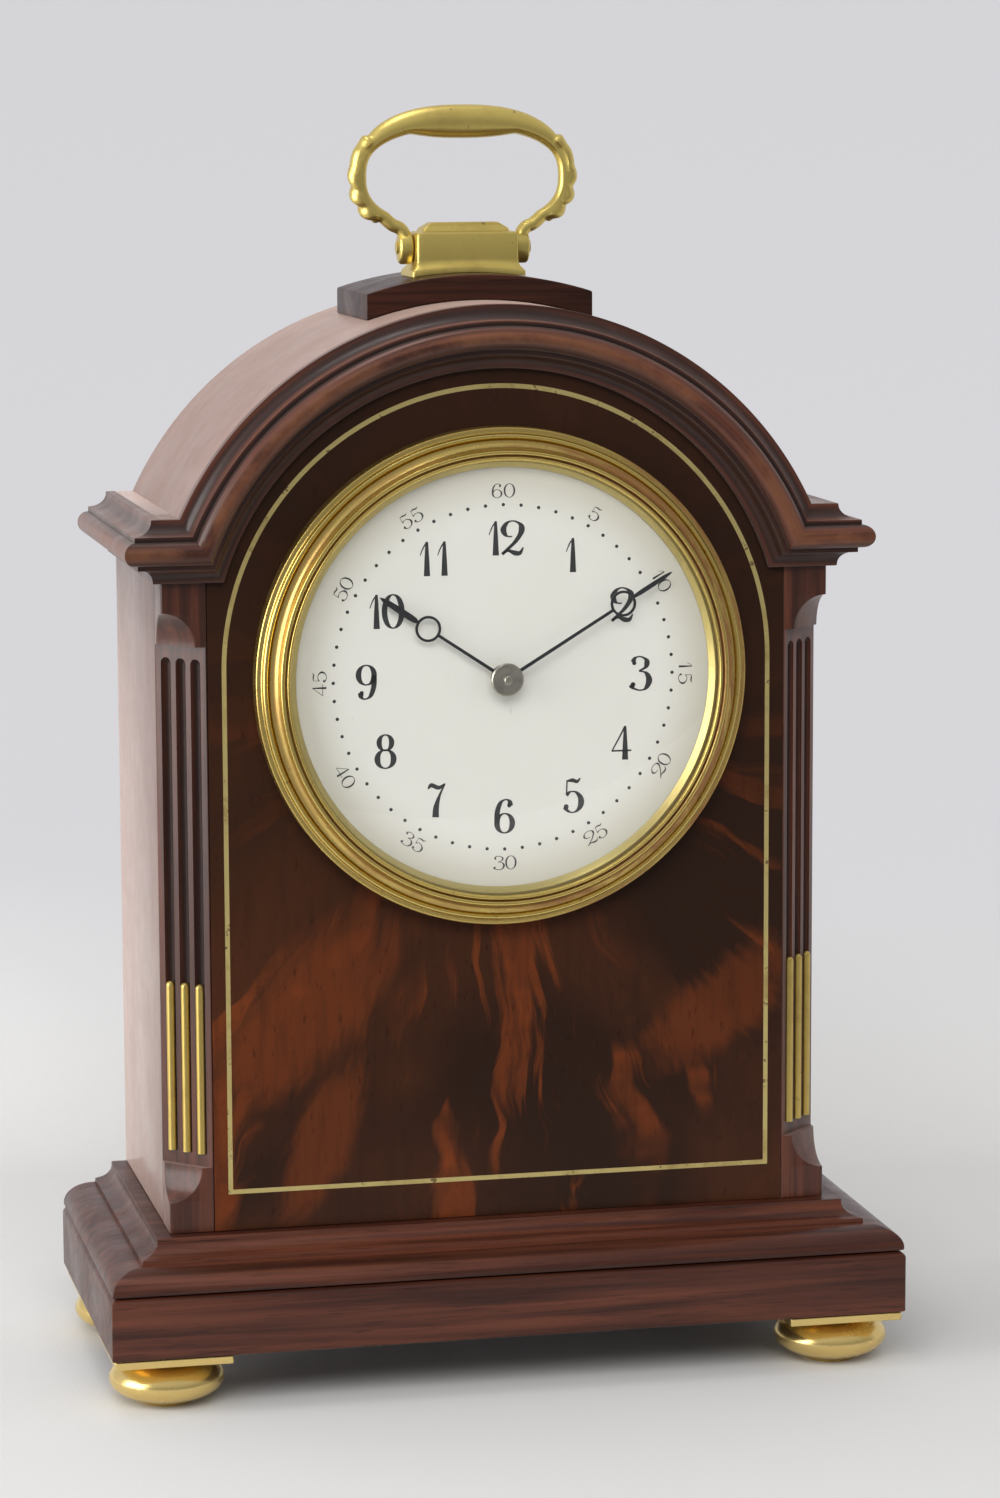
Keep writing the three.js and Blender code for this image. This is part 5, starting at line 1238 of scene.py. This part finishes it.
# each stroke is its widths ("pen" follows a broad pen), its run of points in a unit box and its weight
def glyph(figure):
    wedge = (0.07, 0.14, 0.19)
    tail = [(0.17, 0.8), (0.15, 0.93), (0.04, 0.99), (-0.12, 0.9), (-0.22, 0.62), (-0.23, 0.3)]
    strokes = {
        "0": [("pen", oval(0, 0.5, 0.255, 0.485), 1.0)],
        "1": [(wedge, [(0.03, 1.0), (0.03, 0.5), (0.03, 0.0)], 1),
              ((0.05, 0.025), [(0.03, 0.98), (-0.08, 0.82), (-0.17, 0.6)], 1)],
        "2": [("pen", [(0.0, 0.54), (-0.17, 0.57), (-0.26, 0.75), (-0.15, 0.94), (0.04, 0.995), (0.25, 0.88),
                       (0.27, 0.67), (0.1, 0.4), (-0.12, 0.19), (-0.3, 0.03)], 1.1),
              ((0.04, 0.07, 0.15, 0.12, 0.03), [(-0.3, 0.03), (-0.12, 0.13), (0.08, 0.06), (0.23, 0.06),
                                                (0.33, 0.22)], 1)],
        "3": [("ball", [(-0.17, 0.81)], 0.065), ("ball", [(-0.21, 0.17)], 0.075),
              ("pen", [(-0.22, 0.83), (-0.13, 0.965), (0.03, 0.99), (0.2, 0.88), (0.18, 0.69),
                       (-0.02, 0.57)], 1.0),
              ("pen", [(-0.03, 0.57), (0.18, 0.51), (0.28, 0.29), (0.18, 0.06), (0.0, 0.0), (-0.2, 0.07),
                       (-0.27, 0.17)], 1.15)],
        "4": [((0.05, 0.04), [(0.1, 1.0), (-0.1, 0.62), (-0.3, 0.27)], 1),
              ((0.05, 0.05), [(-0.31, 0.27), (0.0, 0.27), (0.29, 0.27)], 1),
              (wedge, [(0.1, 1.0), (0.1, 0.5), (0.1, 0.0)], 1)],
        "5": [((0.04, 0.12, 0.1, 0.03), [(-0.16, 0.92), (0.0, 0.94), (0.14, 0.9), (0.24, 1.0)], 1),
              ((0.04, 0.04), [(-0.16, 0.95), (-0.17, 0.7), (-0.18, 0.5)], 1),
              ("ball", [(-0.19, 0.16)], 0.075),
              ("pen", [(-0.18, 0.5), (-0.06, 0.6), (0.11, 0.58), (0.25, 0.4), (0.24, 0.17), (0.1, 0.01),
                       (-0.08, 0.0), (-0.25, 0.14)], 1.1)],
        "6": [("pen", oval(0.0, 0.29, 0.23, 0.285), 1.0), ("pen", tail, 0.95),
              ("ball", [(0.14, 0.81)], 0.06)],
        "7": [((0.03, 0.13, 0.12, 0.05), [(-0.24, 0.84), (-0.14, 0.95), (0.08, 0.87), (0.27, 0.98)], 1),
              ((0.03, 0.07, 0.17, 0.2), [(0.27, 0.98), (0.11, 0.66), (0.0, 0.3), (-0.02, 0.0)], 1)],
        "8": [("pen", oval(0, 0.755, 0.185, 0.23), 0.95), ("pen", oval(0, 0.275, 0.24, 0.27), 1.05)],
    }
    strokes["9"] = [(pen, [(-x, 1 - y) for x, y in points], weight) for pen, points, weight in strokes["6"]]
    return strokes[figure]


def ribbon(spots, widths):
    left = []
    right = []
    for i, here in enumerate(spots):
        ahead = spots[min(i + 1, len(spots) - 1)] - spots[max(i - 1, 0)]
        if i in (0, len(spots) - 1) and (spots[0] - spots[-1]).length < 1e-6:
            ahead = spots[1] - spots[-2]
        ahead = ahead.normalized()
        side = Vector((-ahead.y, ahead.x)) * (widths[i] / 2)
        left.append(here + side)
        right.append(here - side)
    return left, right


def writeFigure(figure, size, weight, wide, plot, solids):
    # add the strokes of one figure; plot carries a point of its box onto the dial
    for pen, points, share in glyph(figure):
        if pen == "ball":
            cx, cy = points[0]
            edge = [Vector((cx * wide + share * math.cos(t), cy + share * math.sin(t))) for t in fullTurn(20)]
            solids.append(([plot(p * size) for p in edge], None))
            continue
        spots = smoothLine([(x * wide, y) for x, y in points])
        if pen == "pen":
            widths = []
            for i in range(len(spots)):
                ahead = (spots[min(i + 1, len(spots) - 1)] - spots[max(i - 1, 0)]).normalized()
                full = dial["stem"] * weight * share
                widths.append(dial["hair"] + (full - dial["hair"]) * abs(ahead.y) ** 2.4)
        else:
            at = np.linspace(0, len(pen) - 1, len(spots))
            widths = [w * (0.3 + 0.7 * weight) for w in np.interp(at, range(len(pen)), pen)]
        left, right = ribbon(spots, widths)
        solids.append(([plot(p * size) for p in left], [plot(p * size) for p in right]))


def raised(solids, front, back):
    verts = []
    faces = []
    for left, right in solids:
        base = len(verts)
        if right is None:
            count = len(left)
            verts.extend((x, front, z) for x, z in left)
            verts.extend((x, back, z) for x, z in left)
            faces.append(tuple(base + i for i in range(count)))
            faces.append(tuple(base + count + i for i in reversed(range(count))))
            for i in range(count):
                j = (i + 1) % count
                faces.append((base + j, base + i, base + count + i, base + count + j))
            continue
        for (lx, lz), (rx, rz) in zip(left, right):
            verts.extend([(lx, front, lz), (rx, front, rz), (rx, back, rz), (lx, back, lz)])
        for i in range(len(left) - 1):
            a = base + 4 * i
            for k in range(4):
                n = (k + 1) % 4
                faces.append((a + k, a + n, a + 4 + n, a + 4 + k))
        faces.append((base, base + 3, base + 2, base + 1))
        a = base + 4 * (len(left) - 1)
        faces.append((a, a + 1, a + 2, a + 3))
    return verts, faces


def dialFigures():
    solids = []

    def write(text, size, weight, wide, pitch, centre, turn):
        up = Vector((math.sin(turn), math.cos(turn)))
        along = Vector((math.cos(turn), -math.sin(turn)))
        for i, figure in enumerate(text):
            shift = (i - (len(text) - 1) / 2) * pitch * size

            def plot(p, shift=shift):
                spot = centre + along * (p.x + shift) + up * (p.y - size / 2)
                return spot.x, spot.y
            writeFigure(figure, size, weight, wide, plot, solids)

    for hour in range(1, 13):
        turn = 2 * pi * hour / 12
        centre = Vector((dial["hourCentre"] * math.sin(turn), dialZ + dial["hourCentre"] * math.cos(turn)))
        pitch = 0.52 if hour > 9 else 0.4
        write(str(hour), dial["hourHeight"], 1.0, 1.0, pitch, centre, 0)
        spot = Vector((dial["minuteCentre"] * math.sin(turn), dialZ + dial["minuteCentre"] * math.cos(turn)))
        upward = hour <= 3 or hour >= 9
        write(str(hour * 5), dial["minuteHeight"], 0.75, 1.4, 0.9, spot, turn if upward else turn + pi)
    verts, faces = raised(solids, dialFront - dial["proud"], dialFront + 0.02)
    return makeObject("dialFigures", verts, faces, 30)


def dotTree():
    # flattened balls stand on a circle that is then turned to face the front
    tree, start = nodeTree("minuteDots", {
        "Radius": "Float", "Dot": "Float", "Centre": "Vector", "Count": "Int"})
    value = start.outputs
    ring = treeNode(tree, "GeometryNodeMeshCircle", None, {
        "Vertices": value["Count"], "Radius": value["Radius"]})
    ball = treeNode(tree, "GeometryNodeMeshUVSphere", None, {
        "Segments": 16, "Rings": 8, "Radius": value["Dot"]})
    flat = treeNode(tree, "GeometryNodeTransform", None, {"Geometry": ball.outputs[0], "Scale": (1, 1, 0.09)})
    dots = treeNode(tree, "GeometryNodeInstanceOnPoints", None, {
        "Points": ring.outputs[0], "Instance": flat.outputs[0]})
    upright = treeNode(tree, "GeometryNodeTransform", None, {
        "Geometry": dots.outputs[0], "Rotation": (pi / 2, 0, 0), "Translation": value["Centre"]})
    closeTree(tree, upright.outputs[0], paints["ink"])
    return tree


minuteDots = grow("minuteDots", seed("dotSeed"), dotTree(), {
    "Radius": dial["dotCircle"] * unit, "Dot": dial["dotRadius"] * unit,
    "Centre": Vector((0, frontY + dialFront * unit, dialZ * unit)), "Count": dial["dots"]})
settle(minuteDots, "clock_body", None, "silvered_dial")
settle(dialFigures(), "clock_body", paints["ink"], "silvered_dial")
print("dial made")

# hands
hands = {
    "hourAngle": 303.7, "hourRing": 22.3, "hourReach": 36.1, "minuteAngle": 58.8, "minuteRing": 33.1,
    "minuteReach": 47.0, "ring": 3.1, "ringWidth": 0.62, "shaft": 0.36, "hourLeaf": 0.78, "minuteLeaf": 0.55,
    "hub": 3.3, "hubHole": 1.9, "boss": 3.9,
}


def handPiece(name, node, ring, reach, leaf, angle):
    low, high = span(node)
    turn = math.radians(angle)

    def placed(points):
        c, s = math.cos(turn), math.sin(turn)
        return [(x * c + z * s, dialZ - x * s + z * c) for x, z in points]

    def hole(radius, centre, steps=56):
        return placed(arc(0, centre, radius, radius, 0, 360, steps)[:-1])

    w = hands["shaft"]
    outer = hands["ring"]
    start = ring + outer - 0.15
    shaft = placed([(-w * 1.15, 2.0), (w * 1.15, 2.0), (w, ring - outer + 0.2), (-w, ring - outer + 0.2)])
    leafEdge = [(w * 0.9, start)]
    for share, wide in ((0.08, 0.85), (0.2, 1.0), (0.5, 1.0), (0.8, 0.85), (0.93, 0.5), (1.0, 0.12)):
        leafEdge.append((leaf * wide, start + (reach - start) * share))
    leafLoop = placed(leafEdge + [(-x, z) for x, z in reversed(leafEdge)])
    pieces = [slab("shaft", [shaft], low.y, high.y, 0.06), slab("leaf", [leafLoop], low.y, high.y, 0.06),
              slab("ring", [hole(outer, ring), hole(outer - hands["ringWidth"], ring)], low.y, high.y, 0.06),
              slab("hub", [hole(hands["hub"], 0), hole(hands["hubHole"], 0)], low.y, high.y, 0.05)]
    return join(name, pieces, 40)


hourHand = handPiece("openHourHand", "hour_hand", hands["hourRing"], hands["hourReach"], hands["hourLeaf"],
                     hands["hourAngle"])
settle(hourHand, "hour", paints["hand"], "dark_steel", "hour_hand")
minuteHand = handPiece("openMinuteHand", "minute_hand", hands["minuteRing"], hands["minuteReach"],
                       hands["minuteLeaf"], hands["minuteAngle"])
settle(minuteHand, "hands", paints["hand"], "dark_steel", "minute_hand")
low, high = span("hand_boss")
back = high.y
bossRadius = hands["boss"]
boss = turned("handBoss", [(0.01, back), (bossRadius - 0.15, back), (bossRadius, back - 0.2),
                           (bossRadius, back - 0.55), (bossRadius - 0.3, back - 0.85), (2.6, back - 0.8),
                           (1.3, back - 0.62), (1.05, back - 0.7), (1.0, low.y + 0.3), (0.8, low.y + 0.08),
                           (0.5, low.y), (0.01, low.y)], 96, 20)
settle(boss, "hands", paints["steel"], "steel", "hand_boss")
print("hands made")

# studio, in metres
studio = {
    "cloth": (0.53, 0.525, 0.52), "seen": (0.68, 0.675, 0.70), "wallStart": 0.17, "wallRadius": 0.10,
    "wallHeight": 1.6, "reach": 2.5, "front": -0.27, "world": 0.30, "worldPoles": 0.28,
}
lamps = {
    "keyLight": {"spot": (-1.35, -0.32, 0.42), "size": (1.1, 1.1), "power": 20.0, "inGloss": True},
    "fillLight": {"spot": (1.3, -1.0, 0.5), "size": (0.8, 1.0), "power": 4.0, "inGloss": False},
    "topLight": {"spot": (-0.2, 0.12, 1.35), "size": (1.0, 0.35), "power": 4.5, "inGloss": True},
    "frontLight": {"spot": (-0.4, -1.5, 1.25), "size": (1.5, 0.9), "power": 30.0, "inGloss": False},
}
view = {
    "spot": (-0.2279, -1.0606, 0.3076), "turn": 0.21698, "tilt": -0.14553, "roll": -0.0045, "focal": 160.74,
    "shift": 0.0076,
}


def clothPaint():
    # the wall glows with a painted tone for the camera, for metal and through glass; the floor is lit cloth
    p = Paint("wovenCloth")
    x, y, z = p.axes()
    warp = ((x * 5200.0).math("SINE") + (y * 5200.0).math("SINE")) * 0.25 + 0.5
    mottle = p.noise(p.place(), 3.0, 4.0)
    tone = p.mix(mottle * 0.25, shade(*studio["cloth"]), shade(*(0.95 * c for c in studio["cloth"])))
    cloth = p.node("BsdfPrincipled", {}, {"Base Color": tone, "Roughness": 0.9,
                                          "Normal": p.bump(warp, 0.05, 0.0003)})
    # painted light: the wall's glow is a little darker towards the top
    wall = p.mix(z.within(0.1, 0.7), shade(*studio["seen"]), shade(*(0.93 * c for c in studio["seen"])))
    glow = p.node("Emission", {}, {"Color": wall})
    path = p.tree.nodes.new("ShaderNodeLightPath")
    ray = Wire(p.tree, path.outputs["Is Camera Ray"])
    for name in ("Is Glossy Ray", "Is Transmission Ray"):
        ray = ray.math("MAXIMUM", Wire(p.tree, path.outputs[name]))
    both = p.node("MixShader", {}, {0: ray * z.within(0.004, 0.09), 1: cloth, 2: glow})
    # from behind, the cloth lets the view through
    behind = p.node("NewGeometry", output="Backfacing")
    clear = p.node("BsdfTransparent")
    shown = p.node("MixShader", {}, {0: behind, 1: both, 2: clear})
    out = p.tree.nodes.new("ShaderNodeOutputMaterial")
    p.tree.links.new(shown.socket, out.inputs[0])
    return p.material


def cyclorama():
    # a floor that bends up into a wall square to the camera's view
    s = studio
    start = s["wallStart"]
    radius = s["wallRadius"]
    profile = [(s["front"], 0), (start, 0)]
    for t in np.radians(np.linspace(6, 90, 15)):
        profile.append((start + radius * math.sin(t), radius * (1 - math.cos(t))))
    profile.append((start + radius, s["wallHeight"]))
    turn = Matrix.Rotation(-view["turn"], 3, "Z")
    verts = []
    for away, z in profile:
        for side in (-s["reach"], s["reach"]):
            spot = turn @ Vector((side, away, z))
            verts.append(spot[:])
    faces = [(2 * i, 2 * i + 1, 2 * i + 3, 2 * i + 2) for i in range(len(profile) - 1)]
    mesh = bpy.data.meshes.new("backdrop")
    mesh.from_pydata(verts, [], faces)
    made = finishMesh("backdrop", mesh, 60)
    made.data.materials.append(clothPaint())
    return made


def softLight(name, aim, spot, size, power, inGloss):
    lamp = bpy.data.lights.new(name, "AREA")
    lamp.shape = "RECTANGLE"
    lamp.size, lamp.size_y = size
    lamp.energy = power
    made = bpy.data.objects.new(name, lamp)
    bpy.context.collection.objects.link(made)
    made.visible_glossy = inGloss
    made.location = spot
    made.rotation_euler = (Vector(aim) - Vector(spot)).to_track_quat("-Z", "Y").to_euler()
    return made


backdrop = cyclorama()
lights = [softLight(name, (0, 0, 0.15), **lamp) for name, lamp in lamps.items()]
world = bpy.data.worlds.new("studioWorld")
bpy.context.scene.world = world
world.use_nodes = True
sky = world.node_tree.nodes["Background"]
sky.inputs["Color"].default_value = (0.93, 0.94, 0.95, 1)
around = world.node_tree.nodes.new("ShaderNodeTexCoord")
split = world.node_tree.nodes.new("ShaderNodeSeparateXYZ")
world.node_tree.links.new(around.outputs["Generated"], split.inputs[0])
height = Wire(world.node_tree, split.outputs["Z"]).math("ABSOLUTE")
skyGlow = height.within(0.15, 0.75) * studio["worldPoles"] + studio["world"]    # brighter overhead and below
world.node_tree.links.new(skyGlow.socket, sky.inputs["Strength"])
print("studio lit")

# camera
lens = bpy.data.cameras.new("camera")
lens.sensor_width = 36
lens.sensor_fit = "HORIZONTAL"
lens.lens = view["focal"]
lens.shift_x = view["shift"]
lens.clip_start = 0.05
camera = bpy.data.objects.new("camera", lens)
bpy.context.collection.objects.link(camera)
camera.location = view["spot"]
forward = math.cos(view["tilt"])
ahead = Vector((math.sin(view["turn"]) * forward, math.cos(view["turn"]) * forward, math.sin(view["tilt"])))
facing = ahead.to_track_quat("-Z", "Y")
camera.rotation_euler = (facing.to_matrix() @ Matrix.Rotation(view["roll"], 3, "Z")).to_euler()
bpy.context.scene.camera = camera
bpy.context.scene.view_settings.view_transform = "Standard"
